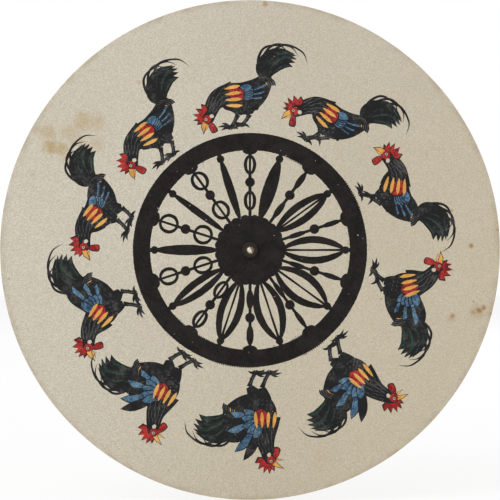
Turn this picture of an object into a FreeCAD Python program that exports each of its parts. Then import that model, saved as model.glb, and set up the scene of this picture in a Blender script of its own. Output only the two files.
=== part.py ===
"""A hand-held spinning picture disc (phenakistiscope), in millimetres.

A round pasteboard disc is clamped by a small nut on a steel spindle. The spindle turns in two brass
bushes inside a turned handle, and a fluted wheel behind the disc is flicked with a finger to spin it.

The axis of everything is Y. The disc's printed face looks towards -Y, the handle reaches back
towards +Y, and the origin lies on the axis at the middle of the handle's cylindrical grip.
Every piece is drawn in its own frame, from its front face (y = 0) backwards, and then placed by depth:
the distance behind the disc's printed face.
"""

import FreeCAD
import Part
import Sketcher
import math
import os
import re

SIZES = {
    # picture disc
    "disc_diameter": 245.0,
    "print_thickness": 0.15,
    "core_thickness": 1.5,
    "backing_thickness": 0.15,
    # spindle
    "spindle_diameter": 4.0,
    "nose_diameter": 2.9,
    "nose_taper": 0.7,
    "nose_reach": 0.4,
    "tail_reach": 1.1,
    "tail_chamfer": 0.4,
    "thread_pitch": 0.7,
    "thread_depth": 0.35,
    "thread_crest": 0.1,
    "thread_overcut": 0.05,
    # clamp nut and the washer under it
    "nut_diameter": 7.6,
    "nut_height": 2.2,
    "nut_mouth": 0.25,
    "nut_chamfer": 0.25,
    "knurl_count": 30,
    "knurl_diameter": 0.5,
    "front_washer_diameter": 7.2,
    "front_washer_thickness": 0.4,
    # leather facing, finger wheel and its hub
    "leather_diameter": 34.0,
    "leather_thickness": 1.0,
    "wheel_diameter": 36.0,
    "wheel_thickness": 6.0,
    "wheel_rounding": 0.8,
    "flute_count": 24,
    "flute_diameter": 3.0,
    "flute_depth": 1.0,
    "hub_tube_diameter": 8.0,
    "hub_flange_diameter": 14.0,
    "hub_flange_thickness": 4.0,
    "hub_recess": 0.2,
    "cross_pin_diameter": 1.5,
    "cross_pin_recess": 0.2,
    # bearings and loose washers
    "thrust_washer_diameter": 12.0,
    "thrust_washer_thickness": 0.8,
    "front_flange_diameter": 13.0,
    "front_flange_thickness": 1.5,
    "front_sleeve_length": 14.0,
    "sleeve_diameter": 7.0,
    "rear_sleeve_length": 12.0,
    "rear_flange_diameter": 10.5,
    "rear_flange_thickness": 1.2,
    "rear_washer_diameter": 9.5,
    "rear_washer_thickness": 0.6,
    "collar_diameter": 9.0,
    "collar_length": 4.0,
    "collar_chamfer": 0.4,
    # ferrule and its brads
    "ferrule_diameter": 18.0,
    "ferrule_wall": 1.0,
    "ferrule_lip": 1.0,
    "ferrule_length": 16.0,
    "ferrule_rounding": 0.5,
    "ferrule_bead_rise": 0.6,
    "ferrule_bead_length": 1.8,
    "brad_count": 3,
    "brad_diameter": 1.2,
    "brad_length": 4.2,
    "brad_head_diameter": 2.2,
    "brad_head_height": 0.5,
    "brad_station": 8.0,
    # turned handle
    "handle_length": 116.8,
    "spindle_bore": 5.5,
    "cavity_diameter": 12.0,
    "cavity_depth": 22.0,
    "shoulder_step": 0.6,
    "collar_bead_length": 6.0,
    "collar_bead_rise": 1.2,
    "quirk_length": 1.5,
    "neck_start_diameter": 17.0,
    "neck_diameter": 14.6,
    "neck_length": 23.5,
    "neck_station": 11.0,
    "belly_start_diameter": 18.0,
    "belly_diameter": 23.1,
    "belly_end_diameter": 19.6,
    "cove_length": 2.0,
    "grip_diameter": 24.0,
    "grip_length": 32.0,
    "butt_rounding": 2.0,
    # end cap
    "cap_diameter": 20.0,
    "cap_length": 6.0,
    "cap_rounding": 2.4,
    "spigot_length": 8.0,
    # clearances, each on the radius
    "running_clearance": 0.04,
    "washer_clearance": 0.1,
    "disc_clearance": 0.15,
    "lip_clearance": 0.15,
    "push_clearance": 0.02,
    # end play of the spindle between its two washers
    "end_play": 0.1,
}

# Depths behind the printed face, from the disc backwards to the end cap.
DISC_BACK = "print_thickness + core_thickness + backing_thickness"
WHEEL_FRONT = f"{DISC_BACK} + leather_thickness"
HUB_BACK = f"{WHEEL_FRONT} + wheel_thickness + hub_flange_thickness"
THRUST_FRONT = f"{HUB_BACK} + end_play"
FLANGE_FRONT = f"{THRUST_FRONT} + thrust_washer_thickness"
HANDLE_FRONT = f"{FLANGE_FRONT} + front_flange_thickness"
HANDLE_BACK = f"{HANDLE_FRONT} + handle_length"
CAVITY_FRONT = f"{HANDLE_BACK} - cavity_depth"
REAR_WASHER_FRONT = f"{CAVITY_FRONT} + rear_flange_thickness"
COLLAR_FRONT = f"{REAR_WASHER_FRONT} + rear_washer_thickness + end_play"
SPINDLE_TAIL = f"{COLLAR_FRONT} + collar_length + tail_reach"
GRIP_CENTRE = f"{HANDLE_BACK} - butt_rounding - grip_length / 2"

# Depths in front of the printed face, which are negative.
NUT_FRONT = "-front_washer_thickness - nut_height"
NOSE_TIP = f"{NUT_FRONT} - nose_reach"

# How far inside its square corner the middle of a quarter round lies, as a share of its radius.
CORNER_SHARE = 1 - math.sin(math.radians(45))

# Radii that two pieces share.
SPINDLE_RADIUS = "spindle_diameter / 2"
CROSS_PIN_HOLE = "cross_pin_diameter / 2 + push_clearance"
SLEEVE_SEAT = "sleeve_diameter / 2 + push_clearance"
NOSE_RADIUS = "ferrule_diameter / 2 - ferrule_wall - push_clearance"
SHOULDER_RADIUS = "ferrule_diameter / 2 + shoulder_step"
BRAD_HOLE = "brad_diameter / 2 + push_clearance"
BRAD_TIP_RADIUS = "ferrule_diameter / 2 - brad_length"

document = FreeCAD.newDocument("SpinningPictureDisc")
sheet = document.addObject("Spreadsheet::Sheet", "Sizes")
for row, (alias, size) in enumerate(SIZES.items(), start=1):
    sheet.set(f"A{row}", alias)
    sheet.set(f"B{row}", str(size))
    sheet.setAlias(f"B{row}", alias)
document.recompute()


# ---------------------------------------------------------------- sheet and sketch helpers


def formula(text):
    """Writes each size's name in the text as a reference to the sheet's cell."""
    return re.sub(r"[a-z]+(?:_[a-z]+)+", lambda name: f"Sizes.{name.group()}", text)


def value(text):
    """Works out a formula with the sheet's present sizes."""
    return float(sheet.evalExpression(formula(text)))


def new_body(label, depth):
    """Makes an empty body whose local y = 0 lies at the given depth behind the printed face."""
    body = document.addObject("PartDesign::Body", label)
    body.Label = label
    body.setExpression("Placement.Base.y", formula(f"{depth} - ({GRIP_CENTRE})"))
    return body


def origin_feature(body, role):
    return next(item for item in body.Origin.OriginFeatures if item.Role == role)


def new_sketch(body, name, plane_role):
    """Attaches an empty sketch to one of the body's own origin planes."""
    sketch = body.newObject("Sketcher::SketchObject", name)
    sketch.AttachmentSupport = [(origin_feature(body, plane_role), "")]
    sketch.MapMode = "FlatFace"
    return sketch


def point_at(x, y):
    return FreeCAD.Vector(value(x), value(y), 0)


def pin_vertex(sketch, edge, vertex, x, y):
    """Ties one vertex to the formulas x and y; a zero ties it to the sketch's own axis."""
    for kind, axis, text in (("DistanceX", -2, x), ("DistanceY", -1, y)):
        if text == "0":
            sketch.addConstraint(Sketcher.Constraint("PointOnObject", edge, vertex, axis))
            continue
        constraint = Sketcher.Constraint(kind, -1, 1, edge, vertex, value(text))
        index = sketch.addConstraint(constraint)
        sketch.setExpression(f"Constraints[{index}]", formula(text))


def add_edge(sketch, start, step):
    """Adds a line or arc from a corner and returns (edge, its start vertex, its end vertex)."""
    first = point_at(*start)
    last = point_at(*step[-2:])
    if len(step) == 2:
        return sketch.addGeometry(Part.LineSegment(first, last), False), 1, 2
    through = point_at(*step[:2])
    # A sketch numbers an arc's vertices counter-clockwise, whichever way the outline runs.
    forward = (through - first).cross(last - through).z > 0
    ends = (first, last) if forward else (last, first)
    edge = sketch.addGeometry(Part.Arc(ends[0], through, ends[1]), False)
    middle = sketch.addGeometry(Part.Point(through), True)
    pin_vertex(sketch, middle, 1, *step[:2])
    sketch.addConstraint(Sketcher.Constraint("PointOnObject", middle, 1, edge))
    return (edge, 1, 2) if forward else (edge, 2, 1)


def draw_outline(sketch, steps):
    """Draws a closed outline of (radius, y) formulas.

    A step of two formulas is a straight run to that corner. A step of four is an arc through the
    first point to the second.
    """
    corners = [step[-2:] for step in steps]
    starts = corners[-1:] + corners[:-1]
    edges = [add_edge(sketch, start, step) for start, step in zip(starts, steps)]
    for (edge, _, end_vertex), corner in zip(edges, corners):
        pin_vertex(sketch, edge, end_vertex, *corner)
    for (edge, _, end_vertex), (following, start_vertex, _) in zip(edges, edges[1:] + edges[:1]):
        joined = Sketcher.Constraint("Coincident", edge, end_vertex, following, start_vertex)
        sketch.addConstraint(joined)


def draw_circle(sketch, x, y, radius):
    circle = Part.Circle(point_at(x, y), FreeCAD.Vector(0, 0, 1), value(radius))
    edge = sketch.addGeometry(circle, False)
    pin_vertex(sketch, edge, 3, x, y)
    index = sketch.addConstraint(Sketcher.Constraint("Radius", edge, value(radius)))
    sketch.setExpression(f"Constraints[{index}]", formula(radius))


# ---------------------------------------------------------------- feature helpers


def turn(body, name, steps):
    """Turns a closed outline round the Y axis, as on a lathe."""
    sketch = new_sketch(body, f"{name}_outline", "XY_Plane")
    draw_outline(sketch, steps)
    feature = body.newObject("PartDesign::Revolution", name)
    feature.Profile = sketch
    feature.ReferenceAxis = (sketch, ["V_Axis"])
    feature.Angle = 360
    return feature


def bore(body, name, steps):
    """Cuts a closed outline, turned round the Y axis, out of the body."""
    sketch = new_sketch(body, f"{name}_outline", "XY_Plane")
    draw_outline(sketch, steps)
    feature = body.newObject("PartDesign::Groove", name)
    feature.Profile = sketch
    feature.ReferenceAxis = (sketch, ["V_Axis"])
    feature.Angle = 360
    return feature


def pad_ring(body, name, outer_radius, hole_radius, thickness):
    """Pads a flat ring from y = 0 backwards."""
    sketch = new_sketch(body, f"{name}_outline", "XZ_Plane")
    draw_circle(sketch, "0", "0", outer_radius)
    draw_circle(sketch, "0", "0", hole_radius)
    feature = body.newObject("PartDesign::Pad", name)
    feature.Profile = sketch
    feature.Reversed = True
    feature.setExpression("Length", formula(thickness))
    return feature


def cut_through(body, name, plane_role, x, y, radius):
    """Cuts a round hole right through the body, both ways from the plane."""
    sketch = new_sketch(body, f"{name}_outline", plane_role)
    draw_circle(sketch, x, y, radius)
    feature = body.newObject("PartDesign::Pocket", name)
    feature.Profile = sketch
    feature.Type = "ThroughAll"
    feature.Midplane = True
    return feature


def cut_outwards(body, name, station, start_radius, radius):
    """Drills a round hole along Z, from the start radius outwards through the wall."""
    sketch = new_sketch(body, f"{name}_outline", "XY_Plane")
    sketch.setExpression("AttachmentOffset.Base.z", formula(start_radius))
    draw_circle(sketch, "0", station, radius)
    feature = body.newObject("PartDesign::Pocket", name)
    feature.Profile = sketch
    feature.Type = "ThroughAll"
    feature.Reversed = True
    return feature


def repeat_round_axis(body, feature, count):
    """Repeats a feature round the Y axis and makes the pattern the body's tip."""
    pattern = body.newObject("PartDesign::PolarPattern", f"{feature.Name}_pattern")
    pattern.Originals = [feature]
    pattern.Axis = (origin_feature(body, "Y_Axis"), [""])
    pattern.Angle = 360
    pattern.setExpression("Occurrences", formula(count))
    body.Tip = pattern
    return pattern


# ---------------------------------------------------------------- the picture disc


def make_disc_layer(label, depth, thickness):
    """One layer of the laminated disc: the print, the pasteboard core or the backing paper."""
    body = new_body(label, depth)
    hole_radius = f"{SPINDLE_RADIUS} + disc_clearance"
    pad_ring(body, f"{label}_pad", "disc_diameter / 2", hole_radius, thickness)
    return body


# ---------------------------------------------------------------- spindle, nut and washers


def make_spindle():
    """A ground steel rod with a threaded, tapered nose and two cross holes."""
    body = new_body("spindle", NOSE_TIP)
    length = f"{SPINDLE_TAIL} - ({NOSE_TIP})"
    turn(body, "rod", [
        ("0", "0"),
        ("nose_diameter / 2", "0"),
        (SPINDLE_RADIUS, "nose_taper"),
        (SPINDLE_RADIUS, f"{length} - tail_chamfer"),
        (f"{SPINDLE_RADIUS} - tail_chamfer", length),
        ("0", length),
    ])
    document.recompute()
    thread = new_sketch(body, "thread_outline", "XY_Plane")
    draw_outline(thread, [
        (f"{SPINDLE_RADIUS} - thread_depth", "thread_pitch / 2"),
        (f"{SPINDLE_RADIUS} + thread_overcut", "thread_pitch - thread_crest / 2"),
        (f"{SPINDLE_RADIUS} + thread_overcut", "thread_crest / 2"),
    ])
    helix = body.newObject("PartDesign::SubtractiveHelix", "thread")
    helix.Profile = thread
    helix.ReferenceAxis = (thread, ["V_Axis"])
    helix.Mode = 0
    helix.setExpression("Pitch", formula("thread_pitch"))
    helix.setExpression("Height", formula(f"{WHEEL_FRONT} - ({NOSE_TIP}) - thread_pitch"))
    hub_station = f"{HUB_BACK} - hub_flange_thickness / 2 - ({NOSE_TIP})"
    collar_station = f"{COLLAR_FRONT} + collar_length / 2 - ({NOSE_TIP})"
    cut_through(body, "hub_cross_hole", "XY_Plane", "0", hub_station, CROSS_PIN_HOLE)
    cut_through(body, "collar_cross_hole", "XY_Plane", "0", collar_station, CROSS_PIN_HOLE)
    return body


def make_clamp_nut():
    """A low round nut with a notched rim and a countersunk mouth."""
    body = new_body("clamp_nut", NUT_FRONT)
    bore_radius = f"{SPINDLE_RADIUS} + running_clearance"
    turn(body, "nut_ring", [
        (f"{bore_radius} + nut_mouth", "0"),
        ("nut_diameter / 2 - nut_chamfer", "0"),
        ("nut_diameter / 2", "nut_chamfer"),
        ("nut_diameter / 2", "nut_height - nut_chamfer"),
        ("nut_diameter / 2 - nut_chamfer", "nut_height"),
        (bore_radius, "nut_height"),
        (bore_radius, "nut_mouth"),
    ])
    notch = cut_through(body, "notch", "XZ_Plane", "nut_diameter / 2", "0", "knurl_diameter / 2")
    repeat_round_axis(body, notch, "knurl_count")
    return body


def make_washer(label, depth, diameter, thickness):
    """A plain flat washer that is free on the spindle."""
    body = new_body(label, depth)
    hole_radius = f"{SPINDLE_RADIUS} + washer_clearance"
    pad_ring(body, f"{label}_pad", f"{diameter} / 2", hole_radius, thickness)
    return body


def make_cross_pin(label, station_depth, length):
    """A plain cross pin that runs along Z through the axis."""
    body = new_body(label, station_depth)
    sketch = new_sketch(body, f"{label}_outline", "XY_Plane")
    draw_circle(sketch, "0", "0", "cross_pin_diameter / 2")
    feature = body.newObject("PartDesign::Pad", f"{label}_pad")
    feature.Profile = sketch
    feature.Midplane = True
    feature.setExpression("Length", formula(length))
    return body


# ---------------------------------------------------------------- finger wheel


def make_finger_wheel():
    """A turned wheel with rounded edges and a fluted rim, bored for the hub's tube."""
    body = new_body("finger_wheel", WHEEL_FRONT)
    rim = "wheel_diameter / 2"
    inner = "hub_tube_diameter / 2 + push_clearance"
    corner = f"wheel_rounding * {CORNER_SHARE}"
    turn(body, "wheel_blank", [
        (inner, "0"),
        (f"{rim} - wheel_rounding", "0"),
        (f"{rim} - {corner}", corner, rim, "wheel_rounding"),
        (rim, "wheel_thickness - wheel_rounding"),
        (f"{rim} - {corner}", f"wheel_thickness - {corner}",
         f"{rim} - wheel_rounding", "wheel_thickness"),
        (inner, "wheel_thickness"),
    ])
    flute_centre = f"{rim} + flute_diameter / 2 - flute_depth"
    flute = cut_through(body, "flute", "XZ_Plane", flute_centre, "0", "flute_diameter / 2")
    repeat_round_axis(body, flute, "flute_count")
    return body


def make_wheel_hub():
    """A brass hub: a tube through the wheel and a thick flange behind it, cross-drilled."""
    body = new_body("wheel_hub", f"{WHEEL_FRONT} + hub_recess")
    tube_length = "wheel_thickness - hub_recess"
    inner = f"{SPINDLE_RADIUS} + push_clearance"
    back = f"{tube_length} + hub_flange_thickness"
    turn(body, "hub_blank", [
        (inner, "0"),
        ("hub_tube_diameter / 2", "0"),
        ("hub_tube_diameter / 2", tube_length),
        ("hub_flange_diameter / 2", tube_length),
        ("hub_flange_diameter / 2", f"{back} - wheel_rounding"),
        ("hub_flange_diameter / 2 - wheel_rounding", back),
        (inner, back),
    ])
    station = f"{back} - hub_flange_thickness / 2"
    cut_through(body, "pin_hole", "XY_Plane", "0", station, CROSS_PIN_HOLE)
    return body


# ---------------------------------------------------------------- bearings and collar


def make_bearing(label, depth, flange_radius, flange, front_is_flange, sleeve_length):
    """A flanged bush. The front one has its flange before its sleeve, the rear one behind it."""
    body = new_body(label, depth)
    inner = f"{SPINDLE_RADIUS} + running_clearance"
    length = f"{flange} + {sleeve_length}"
    sleeve = "sleeve_diameter / 2"
    if front_is_flange:
        outside = [(flange_radius, "0"), (flange_radius, flange), (sleeve, flange), (sleeve, length)]
    else:
        outside = [(sleeve, "0"), (sleeve, sleeve_length), (flange_radius, sleeve_length),
                   (flange_radius, length)]
    turn(body, f"{label}_bush", [(inner, "0"), *outside, (inner, length)])
    return body


def make_retaining_collar():
    """A short collar with chamfered edges, cross-drilled for its pin."""
    body = new_body("retaining_collar", COLLAR_FRONT)
    inner = f"{SPINDLE_RADIUS} + push_clearance"
    outer = "collar_diameter / 2"
    turn(body, "collar_ring", [
        (inner, "0"),
        (f"{outer} - collar_chamfer", "0"),
        (outer, "collar_chamfer"),
        (outer, "collar_length - collar_chamfer"),
        (f"{outer} - collar_chamfer", "collar_length"),
        (inner, "collar_length"),
    ])
    cut_through(body, "collar_pin_hole", "XY_Plane", "0", "collar_length / 2", CROSS_PIN_HOLE)
    return body


# ---------------------------------------------------------------- ferrule and brads


def make_ferrule():
    """A drawn brass ferrule with an inward lip at the front and a bead round its back edge."""
    body = new_body("ferrule", f"{HANDLE_FRONT} - ferrule_lip")
    outer = "ferrule_diameter / 2"
    inner = f"{outer} - ferrule_wall"
    lip_hole = "front_flange_diameter / 2 + lip_clearance"
    corner = f"ferrule_rounding * {CORNER_SHARE}"
    turn(body, "ferrule_shell", [
        (lip_hole, "0"),
        (f"{outer} - ferrule_rounding", "0"),
        (f"{outer} - {corner}", corner, outer, "ferrule_rounding"),
        (outer, "ferrule_length - ferrule_bead_length"),
        (f"{outer} + ferrule_bead_rise", "ferrule_length - ferrule_bead_length / 2",
         outer, "ferrule_length"),
        (inner, "ferrule_length"),
        (inner, "ferrule_lip"),
        (lip_hole, "ferrule_lip"),
    ])
    station = "ferrule_lip + brad_station"
    hole = cut_outwards(body, "brad_hole", station, f"({inner}) / 2", BRAD_HOLE)
    repeat_round_axis(body, hole, "brad_count")
    return body


def make_ferrule_pins():
    """Brads driven in through the ferrule, evenly round the axis."""
    body = new_body("ferrule_pins", f"{HANDLE_FRONT} + brad_station")
    body.AllowCompound = True
    sketch = new_sketch(body, "brad_outline", "YZ_Plane")
    surface = "ferrule_diameter / 2"
    draw_outline(sketch, [
        ("0", BRAD_TIP_RADIUS),
        ("brad_diameter / 2", f"{BRAD_TIP_RADIUS} + brad_diameter / 2"),
        ("brad_diameter / 2", surface),
        ("brad_head_diameter / 2", surface),
        ("brad_head_diameter / 2 - brad_head_height", f"{surface} + brad_head_height"),
        ("0", f"{surface} + brad_head_height"),
    ])
    brad = body.newObject("PartDesign::Revolution", "brad")
    brad.Profile = sketch
    brad.ReferenceAxis = (sketch, ["V_Axis"])
    brad.Angle = 360
    repeat_round_axis(body, brad, "brad_count")
    return body


# ---------------------------------------------------------------- handle and end cap


def make_handle_grip():
    """The turned handle: ferrule seat, bead, neck, belly and a plain cylindrical grip at the butt."""
    body = new_body("handle_grip", HANDLE_FRONT)
    seat_end = "ferrule_length - ferrule_lip"
    bead_end = f"{seat_end} + collar_bead_length"
    neck_start = f"{bead_end} + quirk_length"
    neck_end = f"{neck_start} + neck_length"
    grip_start = "handle_length - butt_rounding - grip_length"
    belly_end = f"{grip_start} - cove_length"
    grip_radius = "grip_diameter / 2"
    cove_rise = "(grip_diameter - belly_end_diameter) / 2"
    butt_corner = f"butt_rounding * {CORNER_SHARE}"
    turn(body, "handle_blank", [
        ("0", "0"),
        (NOSE_RADIUS, "0"),
        (NOSE_RADIUS, seat_end),
        (SHOULDER_RADIUS, seat_end),
        (f"{SHOULDER_RADIUS} + collar_bead_rise", f"{seat_end} + collar_bead_length / 2",
         SHOULDER_RADIUS, bead_end),
        ("neck_start_diameter / 2", bead_end),
        ("neck_start_diameter / 2", neck_start),
        ("neck_diameter / 2", f"{neck_start} + neck_station",
         "belly_start_diameter / 2", neck_end),
        ("belly_diameter / 2", f"({neck_end} + {belly_end}) / 2",
         "belly_end_diameter / 2", belly_end),
        (f"belly_end_diameter / 2 + {cove_rise} * {CORNER_SHARE}",
         f"{grip_start} - cove_length * {CORNER_SHARE}", grip_radius, grip_start),
        (grip_radius, "handle_length - butt_rounding"),
        (f"{grip_radius} - {butt_corner}", f"handle_length - {butt_corner}",
         f"{grip_radius} - butt_rounding", "handle_length"),
        ("0", "handle_length"),
    ])
    cavity_front = "handle_length - cavity_depth"
    rear_seat_front = f"{cavity_front} - rear_sleeve_length"
    bore(body, "stepped_bore", [
        ("0", "0"),
        (SLEEVE_SEAT, "0"),
        (SLEEVE_SEAT, "front_sleeve_length"),
        ("spindle_bore / 2", "front_sleeve_length"),
        ("spindle_bore / 2", rear_seat_front),
        (SLEEVE_SEAT, rear_seat_front),
        (SLEEVE_SEAT, cavity_front),
        ("cavity_diameter / 2", cavity_front),
        ("cavity_diameter / 2", "handle_length"),
        ("0", "handle_length"),
    ])
    hole = cut_outwards(body, "brad_seat", "brad_station", BRAD_TIP_RADIUS, BRAD_HOLE)
    repeat_round_axis(body, hole, "brad_count")
    return body


def make_end_cap():
    """A turned cap with a rounded edge, a flat end face and a spigot that plugs the cavity."""
    body = new_body("end_cap", f"{HANDLE_BACK} - spigot_length")
    spigot = "cavity_diameter / 2 - push_clearance"
    outer = "cap_diameter / 2"
    back = "spigot_length + cap_length"
    corner = f"cap_rounding * {CORNER_SHARE}"
    turn(body, "cap_blank", [
        ("0", "0"),
        (spigot, "0"),
        (spigot, "spigot_length"),
        (outer, "spigot_length"),
        (outer, f"{back} - cap_rounding"),
        (f"{outer} - {corner}", f"{back} - {corner}",
         f"{outer} - cap_rounding", back),
        ("0", back),
    ])
    return body


# ---------------------------------------------------------------- the whole object

hub_pin_depth = f"{HUB_BACK} - hub_flange_thickness / 2"
collar_pin_depth = f"{COLLAR_FRONT} + collar_length / 2"

pieces = [
    make_disc_layer("printed_sheet", "0", "print_thickness"),
    make_disc_layer("card_core", "print_thickness", "core_thickness"),
    make_disc_layer("backing_sheet", "print_thickness + core_thickness", "backing_thickness"),
    make_spindle(),
    make_clamp_nut(),
    make_washer("front_washer", "-front_washer_thickness",
                "front_washer_diameter", "front_washer_thickness"),
    make_washer("leather_washer", DISC_BACK, "leather_diameter", "leather_thickness"),
    make_finger_wheel(),
    make_wheel_hub(),
    make_cross_pin("wheel_pin", hub_pin_depth, "hub_flange_diameter - 2 * cross_pin_recess"),
    make_washer("thrust_washer", THRUST_FRONT,
                "thrust_washer_diameter", "thrust_washer_thickness"),
    make_bearing("front_bearing", FLANGE_FRONT, "front_flange_diameter / 2",
                 "front_flange_thickness", True, "front_sleeve_length"),
    make_ferrule(),
    make_ferrule_pins(),
    make_handle_grip(),
    make_bearing("rear_bearing", f"{CAVITY_FRONT} - rear_sleeve_length",
                 "rear_flange_diameter / 2", "rear_flange_thickness", False,
                 "rear_sleeve_length"),
    make_washer("rear_washer", REAR_WASHER_FRONT,
                "rear_washer_diameter", "rear_washer_thickness"),
    make_retaining_collar(),
    make_cross_pin("collar_pin", collar_pin_depth, "collar_diameter - 2 * cross_pin_recess"),
    make_end_cap(),
]
document.recompute()

# ---------------------------------------------------------------- checks and export

for item in document.Objects:
    faults = {"Invalid", "Error"} & set(item.State)
    if faults:
        raise RuntimeError(f"{item.Label} is {sorted(faults)}")
for piece in pieces:
    if piece.Shape.isNull() or not piece.Shape.isValid():
        raise RuntimeError(f"{piece.Label} has no valid shape")

os.makedirs("parts", exist_ok=True)
for piece in pieces:
    piece.Shape.exportStep(f"parts/{piece.Label}.step")
    box = piece.Shape.BoundBox
    print(f"{piece.Label}: {len(piece.Shape.Solids)} solid, {piece.Shape.Volume:.1f} mm3, "
          f"y {box.YMin:.2f} to {box.YMax:.2f}, across {box.XLength:.2f}")
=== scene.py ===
# %% [markdown]
# # A spinning picture disc
#
# A phenakistiscope is a round card with a ring of pictures, each a little further on in one movement. It is
# clamped on a steel spindle that turns in a wooden handle. Flicked round and watched through slots or in a
# mirror, the pictures move.
#
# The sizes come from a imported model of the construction, which is loaded first and never changed. Each piece
# is then made again at a finer grain, in the same place, and given its finish.

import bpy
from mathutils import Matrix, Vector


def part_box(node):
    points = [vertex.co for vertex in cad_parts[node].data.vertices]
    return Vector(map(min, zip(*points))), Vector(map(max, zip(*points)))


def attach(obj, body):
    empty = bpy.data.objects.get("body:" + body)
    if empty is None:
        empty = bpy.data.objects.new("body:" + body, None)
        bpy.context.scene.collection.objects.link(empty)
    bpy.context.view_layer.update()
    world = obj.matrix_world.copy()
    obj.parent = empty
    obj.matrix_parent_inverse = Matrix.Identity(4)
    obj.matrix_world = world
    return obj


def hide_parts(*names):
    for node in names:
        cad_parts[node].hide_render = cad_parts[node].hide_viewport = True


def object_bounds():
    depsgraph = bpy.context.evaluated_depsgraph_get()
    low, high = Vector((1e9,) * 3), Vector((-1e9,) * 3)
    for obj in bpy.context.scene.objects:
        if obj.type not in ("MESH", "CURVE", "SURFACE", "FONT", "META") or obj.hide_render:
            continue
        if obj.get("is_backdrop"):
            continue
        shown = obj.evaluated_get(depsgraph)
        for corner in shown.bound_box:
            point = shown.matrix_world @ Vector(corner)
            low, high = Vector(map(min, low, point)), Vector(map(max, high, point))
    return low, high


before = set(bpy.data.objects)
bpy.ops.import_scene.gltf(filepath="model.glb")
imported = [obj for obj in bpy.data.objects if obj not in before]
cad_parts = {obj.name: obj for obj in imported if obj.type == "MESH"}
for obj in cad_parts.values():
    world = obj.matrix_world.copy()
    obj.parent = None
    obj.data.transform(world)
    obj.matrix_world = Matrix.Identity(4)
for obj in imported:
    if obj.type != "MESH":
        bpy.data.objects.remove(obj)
built_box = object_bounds()

# %% Tools and measures
import bmesh
import bpy
import cmath
import math
import numpy
import random
from mathutils import Vector, geometry, noise
from types import SimpleNamespace

MM = 0.001
TURN = 2 * math.pi


def measured(node):
    """A round piece of the construction: its radius, and where it begins and ends along the axis, in mm."""
    low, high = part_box(node)
    return SimpleNamespace(radius=max(high.x, high.z) / MM, front=low.y / MM, back=high.y / MM)


card = measured("printed_sheet")
print(f"picture disc: {2 * card.radius:.1f} mm across, printed face at {card.front:.2f} mm")

# %% [markdown]
# ## Drawing on the flat
#
# The print is black ink with a few washes of colour. Its shapes could come from a picture file, but lines
# that are worked out stay sharp at every distance. A point on the sheet is a complex number in millimetres:
# adding moves it, and multiplying by a direction turns it, so a figure drawn once is easily set round a ring.

# %% Directions and smooth lines
def direction(degrees):
    """A step of length 1 on the sheet: 0 points right, 90 points up."""
    return cmath.exp(1j * math.radians(degrees))


def between(start, end, share):
    return start + (end - start) * share


def smooth_line(points, closed=False, steps=5):
    """A Catmull-Rom curve, which runs through every point."""
    line = []
    for i in range(len(points) - (not closed)):
        here, ahead = points[i], points[(i + 1) % len(points)]
        before = points[i - 1] if closed or i else 2 * here - ahead
        beyond = points[(i + 2) % len(points)] if closed or i + 2 < len(points) else 2 * ahead - here
        square = 2 * before - 5 * here + 4 * ahead - beyond
        cube = 3 * here - before - 3 * ahead + beyond
        for t in (j / steps for j in range(steps)):
            line.append(here + 0.5 * ((ahead - before) * t + square * t * t + cube * t ** 3))
    return line if closed else line + [points[-1]]


print("a smooth line through 4 points has", len(smooth_line([0, 1, 2j, 3])), "points")

# %% Strokes, feathers and ovals
def stroke(points, widths, steps=5):
    """The outline of a pen stroke that swells and thins along a smooth line."""
    line = smooth_line(points, steps=steps)
    last = len(line) - 1
    left, right = [], []
    for i, point in enumerate(line):
        way = line[min(i + 1, last)] - line[max(i - 1, 0)]
        place = i / last * (len(widths) - 1)
        k = min(int(place), len(widths) - 2)
        reach = 0.5j * way / abs(way) * between(widths[k], widths[k + 1], place - k)
        left.append(point + reach)
        right.append(point - reach)
    return left + right[widths[0] == 0:len(right) - (widths[-1] == 0)][::-1]


def rays(root, way, ends):
    """Points round a root: each end is its share of the way and its direction."""
    return [root + share * way * direction(lean) for share, lean in ends]


FEATHER_WIDTHS = (0.25, 0.62, 0.86, 1.0, 0.96, 0.7, 0.0)


def feather(root, tip, width, bow=0.0):
    """A blade, narrow at its root, round at its tip and bowed to one side."""
    along = tip - root
    side = 1j * along * bow
    spine = [root, root + 0.35 * along + 0.8 * side, root + 0.7 * along + side, tip]
    return stroke(spine, [width * share for share in FEATHER_WIDTHS], 3)


def oval(centre, half_length, half_width, along=1, points=24):
    turns = (TURN * i / points for i in range(points))
    return [centre + along * complex(half_length * math.cos(t), half_width * math.sin(t)) for t in turns]


def swollen(outline, share):
    """The same outline, grown about its middle."""
    middle = sum(outline) / len(outline)
    return [middle + (point - middle) * share for point in outline]


print("the outline of a feather has", len(feather(0, 20, 4)), "points")

# %% [markdown]
# ## The moving figure
#
# Ten cockerels stand round the ring, each a tenth of the way further through one crow: head down at the
# ground, up, wing out, beak open, and down again. A figure that moves could be drawn ten times over. Here it
# is drawn once, from a pose, and the pose follows from the phase, so that the loop closes by itself.
#
# Each function yields painted shapes, the lowest first. An ink goes with every outline: `figure` is the black
# drawing, `scratch` the grey lines scraped through it, `paper` leaves the sheet bare, the rest are washes.

# %% The cockerel's pose
HIP_AT_REST = complex(-1.0, 20.5)
SCRATCH = (0.0, 0.42, 0.0)


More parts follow.
